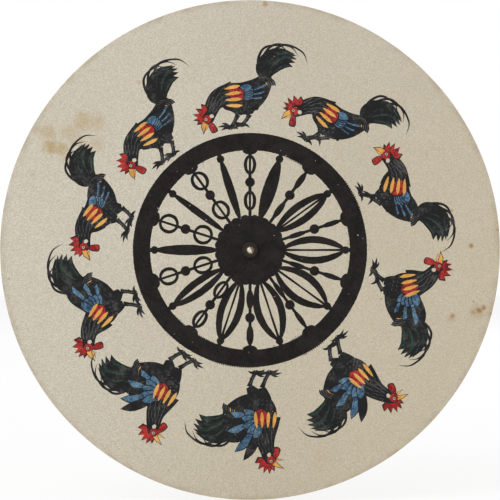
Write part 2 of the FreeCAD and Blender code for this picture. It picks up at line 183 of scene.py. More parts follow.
def cockerel_pose(phase):
    """What changes from picture to picture: at 0 it pecks, at 0.5 it crows."""
    crow = 0.5 - 0.5 * math.cos(TURN * phase)
    lift = math.sin(math.pi * (phase - 0.18) / 0.64) if 0.18 < phase < 0.82 else 0.0
    hip = HIP_AT_REST + 1j * between(-1.8, 1.5, crow)
    tilt = direction(between(-16, 17, crow))

    def on_body(x, y):
        return hip + complex(x, y) * tilt

    return SimpleNamespace(crow=crow, flap=lift ** 1.3, step=max(0.0, math.sin(TURN * (phase - 0.55))),
                           tilt=tilt, sink=0.4 * (hip - HIP_AT_REST), on_body=on_body)


def neck_line(pose):
    base = pose.on_body(7.0, 1.5)
    aim = between(-40, 84, pose.crow)
    size = between(18.0, 23.0, pose.crow) - 4.0 * math.sin(math.pi * pose.crow)
    bow = base + 0.62 * size * direction(aim + between(48, 10, pose.crow))
    head = base + size * direction(aim)
    return [base, between(between(base, bow, 0.5), between(bow, head, 0.5), 0.5), head]


def rounded(on, corners):
    """A smooth closed outline through corners, which `on` puts on the body or the head."""
    return smooth_line([on(*corner) for corner in corners], closed=True)


pecking, crowing = cockerel_pose(0.0), cockerel_pose(0.5)
climb = neck_line(crowing)[-1] - neck_line(pecking)[-1]
print(f"from pecking to crowing the head climbs {climb.imag:.1f} mm, as drawn")

# %% Tail
def draw_tail(pose):
    root = pose.on_body(-12.0, 5.0)
    for i in range(8):
        lean = between(128, 152, pose.crow) - between(9.0, 12.0, pose.crow) * i
        size = 12.5 + 9.0 * math.sin(math.pi * (i + 1.5) / 10)
        curl = 34 + 7 * i
        ends = ((0.42, lean), (0.8, lean + 0.35 * curl), (1.02, lean + 0.75 * curl))
        spine = [root] + rays(root, size, ends)
        yield "figure", stroke(spine, [2.2, 3.6, 4.6, 4.4, 3.0, 0.0])
        if i % 2 == 0 or i == 5:
            core = [root + 0.97 * (point - root) for point in spine]
            yield "blue" if i == 5 else "green", stroke(core, [0.4, 1.6, 2.5, 2.3, 1.2, 0.0])
            yield "figure", stroke(core, [0.35, 0.35, 0.3, 0.2], 3)
    for i in range(3):
        lean = between(98, 110, pose.crow) - 15 * i
        ends = ((0.5, lean), (0.86, lean + 20), (1, lean + 44), (0.98, lean + 62))
        yield "figure", stroke([root] + rays(root, 25.5 - 2.5 * i, ends), [1.2, 1.5, 1.3, 0.9, 0.0])


print("tail:", len(list(draw_tail(pecking))), "shapes")

# %% Legs
def draw_leg(hip, hock, foot, curl):
    for lean, size in ((4 - curl, 7.2), (-15 - curl, 5.6), (27 - 2 * curl, 5.8), (188 + curl, 4.4)):
        toe = [foot, foot + size * 0.5 * direction(lean) + 0.8j, foot + size * direction(lean)]
        yield "figure", stroke(toe, [2.2, 1.5, 1.2, 0.0], 4)
    spur = between(hock, foot, 0.62)
    yield "figure", stroke([spur, spur - 2.2 + 0.6j], [1.9, 0.0], 2)
    yield "figure", stroke([hock, between(hock, foot, 0.5) - 0.25, foot], [2.9, 2.1, 2.0, 2.5], 3)
    yield "scratch", stroke([between(hock, foot, 0.2), between(hock, foot, 0.85)], [0.3, 0.5, 0.3], 3)
    yield "figure", stroke([hip, between(hip, hock, 0.5) + 0.6, hock], [10.5, 9.6, 6.4, 3.8])


print("a leg:", len(list(draw_leg(10j, 5j, 0, 0))), "shapes")

# %% Body
BODY = ((13.2, 2.0), (11.5, -4.5), (6.5, -9.0), (-1.0, -9.6), (-8.5, -6.0), (-13.5, -0.5),
        (-16.0, 5.0), (-13.0, 8.6), (-6.0, 7.6), (1.0, 7.6), (7.5, 9.0), (12.0, 7.4))
SCALE_MARK = ((0.9, 140), (0.9, 215), (0.9, 290))


def draw_body(pose):
    step = pose.step
    yield from draw_leg(pose.on_body(3.5, -4.5), complex(3.6, 9.0) + pose.sink, complex(7.5, 0.9), 0)
    yield "figure", rounded(pose.on_body, BODY)
    yield from draw_leg(pose.on_body(-0.5, -5.5), complex(-3.4 + 2.0 * step, 8.4 + 2.2 * step) + pose.sink,
                        complex(3.5 * step, 0.9 + 5.5 * step), 40 * step)
    yield "figure", stroke(neck_line(pose), [17.0, 14.5, 11.5, 9.2, 7.8, 7.0], 7)
    for row in range(4):
        for column in range(5):
            point = pose.on_body(10.6 - 2.3 * row - 0.6 * column, 1.8 - 2.3 * column + 0.5 * row)
            yield "scratch", stroke(rays(point, pose.tilt, SCALE_MARK), SCRATCH, 2)
    for i in range(9):
        root = pose.on_body(-12.0 + 1.35 * i, 7.6 - 0.12 * i)
        way = (8.6 - 0.3 * i) * pose.tilt * direction(236 - 3 * i)
        yield "figure", feather(root, root + way, 2.3, -0.08)
        yield "ochre" if i in (3, 5) else "scratch", feather(root, root + 0.93 * way, 0.9, -0.08)


print("body and legs:", len(list(draw_body(pecking))), "shapes")

# %% Wing
# Each row of quills: how many, their length folded and spread, and their inks.
PINIONS = (7, (15.5, 19.5), (17, 25), ("figure", "blue"))
COVERTS = (5, (11.0, 11.0), (12.0, 12.0), ("blue",))
QUILL_WIDTH = 5.4
SHOULDER_PATCH = ((2.9, 20), (3.7, 80), (3.6, 140), (4.9, 190), (5.6, 236), (4.0, 296))


def draw_wing(pose):
    shoulder = pose.on_body(6.0, 3.0)
    for count, folded, spread, inks in (PINIONS, COVERTS):
        for i in range(count):
            share = i / (count - 1)
            lean = between(between(212, 176, share), between(190, 98, share), pose.flap)
            size = between(between(*folded, share), between(*spread, share), pose.flap)
            way = pose.tilt * direction(lean)
            inner, outer = shoulder + 1.5 * way, shoulder + (size - 0.6) * way
            yield "figure", feather(shoulder, shoulder + size * way, QUILL_WIDTH, -0.05)
            yield inks[i % len(inks)], feather(inner, outer, QUILL_WIDTH - 1.4, -0.05)
            yield "figure", stroke([shoulder + 4 * way, shoulder + (size - 2.2) * way], [0.3, 0.0], 2)
    patch = rays(shoulder, pose.tilt, SHOULDER_PATCH)
    yield "figure", smooth_line(swollen(patch, 1.18), closed=True)
    yield "red", smooth_line(patch, closed=True)
    for i in range(11):
        dot = shoulder + (1.0 + 0.36 * i) * pose.tilt * direction(236 + 34 * math.sin(2.4 * i))
        yield "figure", oval(dot, 0.34, 0.26, points=7)


print("wing:", len(list(draw_wing(pecking))), "shapes")

# %% Hackles
def draw_hackles(pose):
    line = smooth_line(neck_line(pose), steps=9)
    last = len(line) - 1
    for row in range(5):
        at = int(last * (0.93 - 0.17 * row))
        way = line[max(at - 1, 0)] - line[min(at + 1, last)]
        way /= abs(way)
        many = 4 + row % 2
        for column in range(many):
            share = (column + 0.5) / many - 0.5
            root = line[at] + 1j * way * share * between(6.3, 11.9, row / 4)
            tip = root + (5.8 + 0.75 * row) * way * direction(16 * share)
            if row < 4:
                bow = between(root, tip, 0.55) + 0.1j * way
                yield "scratch", stroke([between(root, tip, 0.1), bow, between(root, tip, 0.95)], SCRATCH, 2)
            else:
                yield "ochre", feather(root, tip, 1.9, 0.05 * share)


print("hackles:", len(list(draw_hackles(pecking))), "shapes")

# %% Head
SKULL = ((4.0, 0.2), (2.6, 2.8), (-0.6, 3.8), (-3.6, 2.4), (-4.0, -1.0), (-1.5, -3.6), (2.2, -3.0))
COMB = ((3.6, 1.8), (5.0, 4.6), (3.2, 4.0), (3.4, 6.8), (1.6, 5.0), (0.8, 7.9), (-0.6, 5.2),
        (-2.2, 7.6), (-3.2, 4.4), (-5.2, 5.8), (-5.4, 2.6), (-3.6, 1.6), (0.0, 3.0))
CHEEK = ((3.2, 1.2), (1.0, 2.4), (-1.0, 1.0), (-0.8, -1.4), (1.6, -2.0), (3.2, -1.0))
EAR = ((-1.2, -0.6), (-2.3, -1.2), (-2.2, -2.6), (-1.0, -2.9), (-0.3, -1.6))
WATTLE = ((2.6, 32), (5.4, 14), (5.6, -14), (2.6, -34))


def draw_head(pose):
    head = neck_line(pose)[-1]
    turn = direction(between(-72, 30, pose.crow))

    def on_head(x, y):
        return head + complex(x, y) * turn

    gape = 34 * max(0.0, pose.crow - 0.55) / 0.45
    hinge, drop = on_head(3.2, -0.5), on_head(2.4, -1.8)
    comb = [on_head(*point) for point in COMB]
    upper = [on_head(*point) for point in ((3.0, 1.9), (5.8, 1.7), (8.6, 0.03 * gape - 0.4), (3.0, -0.4))]
    lower = [hinge, hinge + 4.4 * turn * direction(-gape - 4), hinge + 2.0 * turn * direction(-gape - 38)]
    hang = between(-1j * turn, -1j, 0.55)
    hang /= abs(hang)
    wattle = smooth_line([drop] + rays(drop, hang, WATTLE), closed=True)
    yield "figure", rounded(on_head, SKULL)
    soft_parts = (("red", comb, 1.16), ("ochre", upper, 1.3), ("ochre", lower, 1.3), ("red", wattle, 1.24))
    for ink, shape, rim in soft_parts:
        yield "figure", swollen(shape, rim)
        yield ink, shape
    yield "red", rounded(on_head, CHEEK)
    yield "paper", rounded(on_head, EAR)
    for ink, radius in (("figure", 1.05), ("paper", 0.75), ("figure", 0.42)):
        yield ink, oval(on_head(1.3, 0.6), radius, radius, points=12)


def cockerel(phase):
    """The painted shapes of one cockerel, from the lowest to the topmost."""
    pose = cockerel_pose(phase)
    parts = (draw_tail, draw_body, draw_wing, draw_hackles, draw_head)
    return [shape for draw in parts for shape in draw(pose)]


print("one cockerel is", len(cockerel(0.0)), "painted shapes")

# %% [markdown]
# ## The window at the middle
#
# Inside the black ring is a round window of beaded spokes, with a petal between each two and small coins on
# the spokes. The petals open towards the lower right and the coins towards the left, so the window moves too
# when the disc spins. It is built of the same pen strokes, one sector at a time, and one rule says how far
# a shape is open in its direction.

# %% Lines of the window
PICTURES = 10
RING_OUTSIDE = 57.4
RING_INSIDE = 48.9
BRISTLE_POINTS = 1320
BRISTLE = 0.55
DRAGGED_OUTSIDE = ((28, 12), (262, 16), (303, 9))
DRAGGED_INSIDE = ((236, 17), (62, 7), (300, 8))
PETALS_OPEN_AT = 315
COINS_OPEN_AT = 165


def opening(angle, widest_at):
    """How far a shape is open, from 0 to 1, in a direction round the window."""
    return 0.5 + 0.5 * math.cos(math.radians(angle - widest_at))


def frayed_circle(radius, side, dragged):
    """A drawn circle whose edge bristles, outwards or inwards, round the bearings where the ink dragged."""
    edge = []
    for i in range(BRISTLE_POINTS):
        bearing = 360 * i / BRISTLE_POINTS
        drag = max(0.0, *(1 - abs(bearing - middle) / reach for middle, reach in dragged))
        edge.append(direction(bearing) * (radius + side * BRISTLE * min(1.0, 2 * drag) * (i % 4 // 2)))
    return edge


def crescent(start, end, bulge, thick, thin):
    """A bow from start to end, thick in its middle and thin at its ends."""
    way = end - start
    side = 1j * way / abs(way) * bulge
    spine = [start + way * t + side * math.sin(math.pi * t) ** 0.8 for t in (0, 0.12, 0.3, 0.5, 0.7, 0.88, 1)]
    return stroke(spine, [thin, between(thin, thick, 0.6), thick, thick, between(thin, thick, 0.7), thin], 4)


print(f"the ring is {RING_OUTSIDE - RING_INSIDE:.1f} mm wide")

# %% Spokes
BEAD_STATION = 33.2
COIN_STATIONS = (24.2, 41.8)
COIN_RADIUS = 4.9
COIN_LINE = 1.7


def draw_spoke(angle):
    out = direction(angle)
    yield "solid", stroke([out * 14, out * 50], [1.5, 1.5], 1)
    yield "solid", oval(out * BEAD_STATION, 2.4, 2.4, points=28)
    yield "solid", oval(out * RING_INSIDE, 2.2, 3.7, out)
    for station in COIN_STATIONS:
        half = max(1.3, COIN_RADIUS * opening(angle, COINS_OPEN_AT))
        yield "solid", oval(out * station, COIN_RADIUS, half, out, 36)
        if half > 1.5 * COIN_LINE:
            yield "paper", oval(out * station, COIN_RADIUS - 0.8 * COIN_LINE, half - COIN_LINE, out, 32)
            bar = [out * (station - COIN_RADIUS), out * (station + COIN_RADIUS)]
            yield "solid", stroke(bar, [1.2, 1.2], 1)


print("an open spoke:", len(list(draw_spoke(COINS_OPEN_AT))), "shapes")

# %% Petals
PETAL_FOOT = 15.2
PETAL_TIP = 46.8
PETAL_WIDEST = 7.8
PETAL_THIN = 0.9


def draw_petal(angle):
    """Two bows that meet at their ends, with a thin line between them. Closed, they make one bar."""
    out = direction(angle)
    open_by = between(1.7, PETAL_WIDEST, opening(angle, PETALS_OPEN_AT))
    thick = between(3.3, 3.6, open_by / PETAL_WIDEST)
    start, end = out * PETAL_FOOT, out * PETAL_TIP
    bow = max(0.0, open_by - thick / 2)
    for side in (1, -1):
        yield "solid", crescent(start, end, side * bow, thick, PETAL_THIN)
    if bow > 0.8 * thick:
        yield "solid", stroke([start, between(start, end, 0.5), end], [1.3, 0.9, 1.3], 3)
    yield "solid", oval(end, 1.9, 1.9, points=20)
    yield "solid", stroke([end, out * 50], [1.4, 2.6], 2)


print("an open petal:", len(list(draw_petal(PETALS_OPEN_AT))), "shapes")

# %% The whole window
ROSETTE_RADIUS = 15.4
SCALLOPS = 20
SCALLOP_RADIUS = 2.6
SCALLOP_STATION = 14.8


def window():
    """The ring, the lights inside it and the scalloped rosette."""
    yield "solid", frayed_circle(RING_OUTSIDE, 1, DRAGGED_OUTSIDE)
    yield "paper", frayed_circle(RING_INSIDE, -1, DRAGGED_INSIDE)
    for k in range(PICTURES):
        yield from draw_petal(90 + 360 / PICTURES * (k + 0.5))
        yield from draw_spoke(90 + 360 / PICTURES * k)
    for k in range(SCALLOPS):
        place = SCALLOP_STATION * direction(360 / SCALLOPS * (k + 0.5))
        yield "solid", oval(place, SCALLOP_RADIUS, SCALLOP_RADIUS, points=20)
    yield "solid", oval(0, ROSETTE_RADIUS, ROSETTE_RADIUS, points=96)


middle = list(window())
print("the window is", len(middle), "painted shapes")

# %% Flecks of ink
FLECK_CLUSTERS = (118, 231, 293, 4, 62)
FLECKS_AT_THE_RING = 110
FLECKS_ABOUT = 36


def flecks():
    """Specks that the printing stone left beside the ring, in a few clusters, and a few further off."""
    chance = random.Random(5)
    for i in range(FLECKS_AT_THE_RING):
        edge, side = chance.choice(((RING_OUTSIDE, 1), (RING_INSIDE, -1)))
        out = direction(chance.gauss(chance.choice(FLECK_CLUSTERS), 7.0))
        place = out * (edge + side * abs(chance.gauss(0.3, 0.6)))
        yield "solid", oval(place, chance.uniform(0.1, 0.32), 0.12, direction(chance.uniform(0, 180)), 6)
    for i in range(FLECKS_ABOUT):
        place = chance.uniform(20.0, 118.0) * direction(chance.uniform(0, 360))
        yield "solid", oval(place, chance.uniform(0.12, 0.26), 0.14, 1, 6)


middle += flecks()
print("with its flecks the window is", len(middle), "painted shapes")

# %% [markdown]
# ## Printing the sheet
#
# The sheet is one piece of paper. Its front could be a flat disc with a painted texture, but then every edge
# of ink would be as coarse as the texture. Instead the front is cut along the outlines: a Delaunay
# triangulation takes all outlines at once and keeps every edge. The last outline drawn round the middle of a
# triangle gives it its ink. The outlines are shaken a little first, as a worn stone prints, by a vector noise
# that starts from the clock unless it is given a seed.

# %% Set out the print
FIGURE_SCALE = 0.9
FIGURE_FOOT_RADIUS = 58.9
FIGURE_SHIFT = 3.0
EDGE_SHAKE = 0.13
SHAKE_SCALE = 0.9
HOLE_RADIUS = 2.15
RIM_POINTS = 720
RIM_WEAR = 0.10
noise.seed_set(12)


def shaken(outline, amount):
    """An outline whose points are moved a little, alike for points that lie close together."""
    moved = []
    for point in outline:
        drift = noise.noise_vector(Vector((point.real, point.imag, 0.0)) * SHAKE_SCALE)
        moved.append(point + amount * complex(drift.x, drift.y))
    return moved


def rub(place, wear=RIM_WEAR):
    """How far an edge is rubbed in at a place, never out, in mm."""
    return wear * (0.5 + 0.5 * noise.noise(Vector(place)))


rim = [direction(360 * i / RIM_POINTS) for i in range(RIM_POINTS)]
layout = [("paper", [step * (card.radius - rub((9 * step.real, 9 * step.imag, 2.7))) for step in rim])]
layout += [(ink, shaken(outline, EDGE_SHAKE)) for ink, outline in middle]
for k in range(PICTURES):
    out = direction(90 + 360 * k / PICTURES)
    for ink, outline in cockerel(k / PICTURES):
        set_out = [out * complex(FIGURE_FOOT_RADIUS + FIGURE_SCALE * point.imag,
                                 FIGURE_SCALE * (point.real + FIGURE_SHIFT)) for point in outline]
        layout.append((ink, shaken(set_out, 0.5 * EDGE_SHAKE)))
layout.append(("hole", oval(0, HOLE_RADIUS, HOLE_RADIUS, points=64)))
print("outlines to print:", len(layout), "with", sum(len(outline) for ink, outline in layout), "points")

# %% Cut the sheet along its outlines
INKS = ("paper", "solid", "figure", "scratch", "blue", "red", "ochre", "green")
NEAREST_POINTS = 1e-4


def cut_along(outlines):
    """Triangles whose edges keep to the outlines, over the whole of the plane that these take up."""
    corners, edges = [], []
    for outline in outlines:
        first, count = len(corners), len(outline)
        edges += [(first + i, first + (i + 1) % count) for i in range(count)]
        corners += [Vector((point.real, point.imag)) for point in outline]
    return geometry.delaunay_2d_cdt(corners, edges, [], 0, NEAREST_POINTS, False)[:3:2]


def topmost(places, outlines):
    """For each place, the number of the last outline that goes round it, or -1."""
    x, y = places.real, places.imag
    top = numpy.full(len(places), -1)
    for number, outline in enumerate(outlines):
        line = numpy.array(outline)
        boxed = (x > line.real.min()) & (x < line.real.max()) & (y > line.imag.min()) & (y < line.imag.max())
        near = numpy.flatnonzero(boxed)
        across, up = x[near], y[near]
        turns = numpy.zeros(len(near), dtype=int)
        for a, b in zip(line, numpy.roll(line, -1)):
            left = (b.real - a.real) * (up - a.imag) > (across - a.real) * (b.imag - a.imag)
            turns += (a.imag <= up) & (b.imag > up) & left
            turns -= (a.imag > up) & (b.imag <= up) & ~left
        top[near[turns != 0]] = number
    return top


outlines = [outline for ink, outline in layout]
points, cut = cut_along(outlines)
centres = numpy.array([sum(complex(*points[i]) for i in triangle) / 3 for triangle in cut])
inked = [(triangle, layout[top][0]) for triangle, top in zip(cut, topmost(centres, outlines)) if top >= 0]
triangles = [(triangle, ink) for triangle, ink in inked if ink != "hole"]
print("cut sheet:", len(points), "points,", len(triangles), "triangles")
for ink in INKS:
    print(f"  {ink}: {sum(1 for t, name in triangles if name == ink)} triangles")

# %% The flat map of the sheet
FRONT_SHARE = 0.485
EDGE_SHARE = 0.007
BACK_SHARE = 0.08
BACK_CENTRE = (0.085, 0.085)


def lay_flat(mesh, layer, middle, radius):
    """The sheet's flat map: the front round the middle, its edges just beyond, the back in a corner."""
    for face in mesh.faces:
        behind = min(v.co.y for v in face.verts) > middle
        for loop in face.loops:
            point = Vector((loop.vert.co.x, loop.vert.co.z)) / MM
            beyond = EDGE_SHARE if point.length > radius / 2 else -0.3 * EDGE_SHARE
            scale = (BACK_SHARE if behind else FRONT_SHARE) / radius
            if loop.vert.co.y > middle and not behind:
                scale += beyond / point.length
            loop[layer].uv = Vector(BACK_CENTRE if behind else (0.5, 0.5)) + point * scale


print(f"the flat map shows the front at {FRONT_SHARE / card.radius:.4f} of its width to a millimetre")

# %% Give the sheet its thickness
def rim_edges(triangles):
    """The directed edges that only one triangle has."""
    edges = {(t[i], t[(i + 1) % 3]) for t, ink in triangles for i in range(3)}
    return [(a, b) for a, b in edges if (b, a) not in edges]


def sheet_mesh(name, front, back, radius):
    """A closed sheet between two depths: triangles in front, a wall round each rim and a plain back."""
    mesh = bmesh.new()
    layer = mesh.loops.layers.uv.new("OFBake")
    near = [mesh.verts.new((p.x * MM, front * MM, p.y * MM)) for p in points]
    rims = rim_edges(triangles)
    walled = sorted({a for a, b in rims})
    far = {i: mesh.verts.new((points[i].x * MM, back * MM, points[i].y * MM)) for i in walled}
    for triangle, ink in triangles:
        mesh.faces.new([near[i] for i in triangle]).material_index = INKS.index(ink)
    for a, b in rims:
        mesh.faces.new((near[b], near[a], far[a], far[b]))
    bmesh.ops.delete(mesh, geom=[v for v in mesh.verts if not v.link_faces], context="VERTS")
    middle = between(front, back, 0.5) * MM
    behind = [edge for edge in mesh.edges if min(v.co.y for v in edge.verts) > middle]
    bmesh.ops.triangle_fill(mesh, use_beauty=True, edges=behind, normal=(0, 1, 0))
    lay_flat(mesh, layer, middle, radius)
    bmesh.ops.recalc_face_normals(mesh, faces=mesh.faces)
    open_edges = sum(1 for edge in mesh.edges if len(edge.link_faces) != 2)
    made = bpy.data.meshes.new(name)
    mesh.to_mesh(made)
    mesh.free()
    print(f"{name}: {len(made.polygons)} faces, open edges {open_edges}")
    return made


sheet = sheet_mesh("picture_sheet", card.front, card.back, card.radius)

# %% [markdown]
# ## A bench for finishes
#
# Every finish here is a small tree of nodes. Wired by hand, such trees are long to read, so a bench adds a
# node, plugs in what it is given and hands back the node's output. A finish also keeps a tint, and each wash
# lays one more colour over it. All patterns use Object coordinates turned into millimetres: a number in a
# finish is then a real size on the piece. A bare colour is written as the eye names it, 0 to 255.

# %% Colours
def colour(red, green, blue):
    """The linear colour that a shader wants."""
    shares = (red / 255, green / 255, blue / 255)
    return (*(s / 12.92 if s <= 0.04045 else ((s + 0.055) / 1.055) ** 2.4 for s in shares), 1.0)


print("middle grey is", round(colour(128, 128, 128)[0], 3), "to a shader")

# %% The bench
class Bench:
    """A node tree under construction."""

    def __init__(self, tree):
        self.tree = tree

    def add(self, kind, inputs=None, out=0, **settings):
        node = self.tree.nodes.new(kind)
        for key, value in settings.items():
            setattr(node, key, value)
        for key, value in (inputs or {}).items():
            if isinstance(value, bpy.types.NodeSocket):
                self.tree.links.new(value, node.inputs[key])
            else:
                node.inputs[key].default_value = value
        return node.outputs[out]

    def calc(self, operation, a, b=0.0, c=0.0, clamp=False):
        return self.add("ShaderNodeMath", {0: a, 1: b, 2: c}, operation=operation, use_clamp=clamp)

    def times(self, a, b, plus=0.0):
        return self.calc("MULTIPLY_ADD", a, b, plus)

    def xyz(self, x=0.0, y=0.0, z=0.0):
        return self.add("ShaderNodeCombineXYZ", {0: x, 1: y, 2: z})

    def span(self, value, low, high, to_low=0.0, to_high=1.0, smooth=True):
        """Value, as it runs from low to high, mapped to run from to_low to to_high."""
        inputs = {0: value, 1: low, 2: high, 3: to_low, 4: to_high}
        return self.add("ShaderNodeMapRange", inputs, interpolation_type="SMOOTHSTEP" if smooth else "LINEAR")


def skills(kind):
    return ", ".join(name for name in vars(kind) if not name.startswith("_"))


print("a bench can:", skills(Bench))

# %% A finish on the bench
class Finish(Bench):
    """A material under construction, with places in millimetres and a tint."""

    def __init__(self, name, tree=None, **constants):
        if tree is None:
            self.material = bpy.data.materials.new(name)
            self.material.use_nodes = True
            tree = self.material.node_tree
            self.shader = tree.nodes["Principled BSDF"]
            for key, value in constants.items():
                self.shader.inputs[key.replace("_", " ")].default_value = value
        super().__init__(tree)
        self.place = self.vector("MULTIPLY", self.add("ShaderNodeTexCoord", out="Object"), (1000, 1000, 1000))

    def vector(self, operation, a, b=(0, 0, 0), c=(0, 0, 0), out=0):
        return self.add("ShaderNodeVectorMath", {0: a, 1: b, 2: c}, out, operation=operation)

    def along(self, axis):
        return self.add("ShaderNodeSeparateXYZ", {0: self.place}, axis)

    def radius(self):
        """The distance from the axis of the disc, in mm."""
        return self.vector("LENGTH", self.vector("MULTIPLY", self.place, (1, 0, 1)), out=1)

    def swayed(self, pattern, reach, stretch=(1, 1, 1)):
        """The place, stretched and then moved across the axis by a pattern."""
        place = self.vector("MULTIPLY", self.place, stretch)
        return self.vector("MULTIPLY_ADD", pattern, (reach, 0, reach), place)

    def noise(self, per_mm, detail=2.0, roughness=0.5, stretch=None, place=None, out=0):
        place = place or self.place
        if stretch:
            place = self.vector("MULTIPLY", place, stretch)
        inputs = {"Vector": place, "Scale": per_mm, "Detail": detail, "Roughness": roughness}
        return self.add("ShaderNodeTexNoise", inputs, out)

    def mixed(self, share, a, b):
        a, b = (colour(*c) if isinstance(c, tuple) else c for c in (a, b))
        return self.add("ShaderNodeMix", {0: share, 6: a, 7: b}, 2, data_type="RGBA")

    def tones(self, under, over, share, *spread):
        """Mixes the tint from two colours, by a share, or by a value whose spread is mapped to a share."""
        self.tint = self.mixed(self.span(share, *spread) if spread else share, under, over)

    def wash(self, over, share, *spread):
        """Lays a colour over the tint in the same way."""
        self.tones(self.tint, over, share, *spread)

    def wear(self, **values):
        for socket, value in values.items():
            self.tree.links.new(value, self.shader.inputs[socket.replace("_", " ")])

    def done(self, height, depth_mm, strength):
        """The material, with its tint and a relief."""
        bump = {"Height": height, "Distance": depth_mm * MM, "Strength": strength}
        self.wear(Base_Color=self.tint, Normal=self.add("ShaderNodeBump", bump))
        return self.material


print("a finish can also:", skills(Finish))

# %% [markdown]
# ## Old paper
#
# The sheet's tone is uneven, darker towards the right and yellower towards the lower right, and damp has left
# foxing: soft brown clouds on the left and rusty spots on the right. Two kinds of pattern make it. The grain
# and the clouds are noise, which looks the same anywhere. The stains have a place, so each is a distance from
# a point, roughened by noise. They are collected in one node group, because the inks lie on the same paper.

# %% Foxing
# Each mark: how far right and up of the middle, how wide, in mm, and how strong.
SOFT_STAINS = (
    (-97.5, 50.2, 6.0, 1.0), (-92.5, 49.4, 5.2, 0.85), (-88.5, 45.6, 5.0, 0.62), (-80.5, 49.2, 4.2, 1.0),
    (-81.6, 63.0, 7.5, 0.72), (-75.0, 62.5, 7.0, 0.5), (-99.0, 57.5, 6.0, 0.62), (-88.5, 58.0, 6.5, 0.5),
    (-84.3, 53.0, 5.0, 0.5), (-74.7, 52.4, 5.5, 0.42), (-104.4, 58.8, 3.4, 0.45),
    (-106.6, 36.9, 2.2, 0.4), (-54.4, 83.0, 1.8, 0.5), (-46.6, 87.5, 1.5, 0.5), (35.0, -101.0, 7.0, 0.16),
    (70.0, 70.0, 9.0, 0.12))
RUST_SPOTS = (
    (108.3, 2.2, 1.7, 0.9), (112.2, -29.5, 2.6, 0.95), (114.4, -28.3, 2.1, 0.85),
    (109.6, -30.6, 2.4, 0.55), (111.5, -30.0, 6.0, 0.32), (99.2, -32.3, 1.9, 0.8),
    (98.8, -33.4, 3.6, 0.3), (118.2, -31.4, 1.2, 0.9), (118.6, -34.0, 1.0, 0.8), (121.4, -24.5, 1.6, 0.7),
    (121.6, 10.0, 1.1, 0.6), (99.0, 19.3, 0.8, 0.8), (64.4, -23.9, 0.8, 0.8), (109.4, -25.0, 0.9, 0.7),
    (7.4, 120.4, 2.2, 0.6), (-40.0, -108.0, 1.0, 0.5), (-66.0, -95.0, 0.9, 0.4), (24.0, 112.0, 0.8, 0.4),
    (-118.0, -14.0, 1.0, 0.4))


def stained(finish, marks, drift, reach):
    """How stained the paper is: the strongest of the marks at each place, which has drifted a little."""
    place = finish.swayed(drift, reach, (1, 0, 1))
    total = 0.0
    for x, z, size, strength in marks:
        far = finish.vector("DISTANCE", place, (x, 0, z), out=1)
        total = finish.calc("MAXIMUM", finish.span(far, 0.1 * size, size, strength, 0.0), total)
    return total


print(len(SOFT_STAINS), "soft stains and", len(RUST_SPOTS), "spots of rust")

# %% Aged paper
def old_paper_group(name, pale, dark, stains=True):
    """A node group with the colour and the relief of aged paper."""
    group = bpy.data.node_groups.new(name, "ShaderNodeTree")
    finish = Finish(name, group)
    right, up = finish.along("X"), finish.along("Z")
    # across the whole sheet the paper is darker towards the right and yellower towards the lower right
    slope = finish.times(up, 0.1, right)
    falling = finish.times(up, -1.2, right)
    grain = finish.noise(2.9, 1.0, 0.6)
    tone_across_sheet = finish.calc("MULTIPLY_ADD", finish.noise(0.016, 3.0, 0.6), 0.9,
                         finish.span(slope, -125, 110, -0.45, 0.50), clamp=True)
    finish.tones(pale, dark, tone_across_sheet)
    finish.wash((214, 198, 160), falling, -140, 190, 0.0, 0.34)
    finish.wash((166, 154, 128), grain, 0.38, 0.62, 0.0, 0.62)
    finish.wash((184, 186, 188), finish.noise(3.7, 1.0, 0.6, (1, 1, 1.3)), 0.42, 0.66, 0.0, 0.46)
    finish.wash((196, 172, 128), finish.noise(0.28, 4.0, 0.7), 0.45, 0.75, 0.0, 0.16)
    finish.wash((112, 84, 56), finish.noise(0.75, 1.0, 0.4, (1, 1, 1.35)), 0.75, 0.82, 0.0, 0.32)
    if stains:
        drift = finish.vector("SUBTRACT", finish.noise(0.22, 4.0, 0.65, out=1), (0.5, 0.5, 0.5))
        soft = finish.times(stained(finish, SOFT_STAINS, drift, 9), finish.span(grain, 0.3, 0.6, 0.7, 1.0))
        finish.wash((176, 148, 98), finish.times(soft, 0.85))
        finish.wash((156, 112, 52), finish.times(stained(finish, RUST_SPOTS, drift, 2.5), 0.95))
    rim = finish.span(finish.radius(), card.radius - 4.0, card.radius + 0.5, 0.0, 0.36)
    finish.wash((150, 126, 92), finish.times(rim, finish.span(finish.noise(0.12, 3.0), 0.3, 0.7)))
    relief = finish.times(finish.noise(2.4), 0.4, grain)
    output = group.nodes.new("NodeGroupOutput")
    for socket, kind, value in (("Colour", "Color", finish.tint), ("Relief", "Float", relief)):
        group.interface.new_socket(socket, in_out="OUTPUT", socket_type="NodeSocket" + kind)
        group.links.new(value, output.inputs[socket])
    print(f"{name}: {len(group.nodes)} nodes")
    return group


front_paper = old_paper_group("old_print_paper", (222, 214, 196), (206, 195, 173))

# %% [markdown]
# ## Inks and washes
#
# The solid black of the ring is litho ink: nearly even, with pinholes where it missed the paper. The figures
# were drawn in crayon, so their black is mottled grey. The colours were brushed on by hand and are uneven:
# thin in the middle of a stroke, dense where they pooled, with the crayon's grain under them. One recipe
# serves them all, with a deep and a pale tone, a size of grain and a share of paper that shows through.

# %% Inks
PAPER_GLOSS = 0.12


def on_paper(name, roughness, group=front_paper):
    """A finish that begins as bare paper, and the paper's relief."""
    finish = Finish(name, Roughness=roughness, Specular_IOR_Level=PAPER_GLOSS)
    paper = finish.add("ShaderNodeGroup", node_tree=group).node.outputs
    finish.tint = paper["Colour"]
    return finish, paper["Relief"]


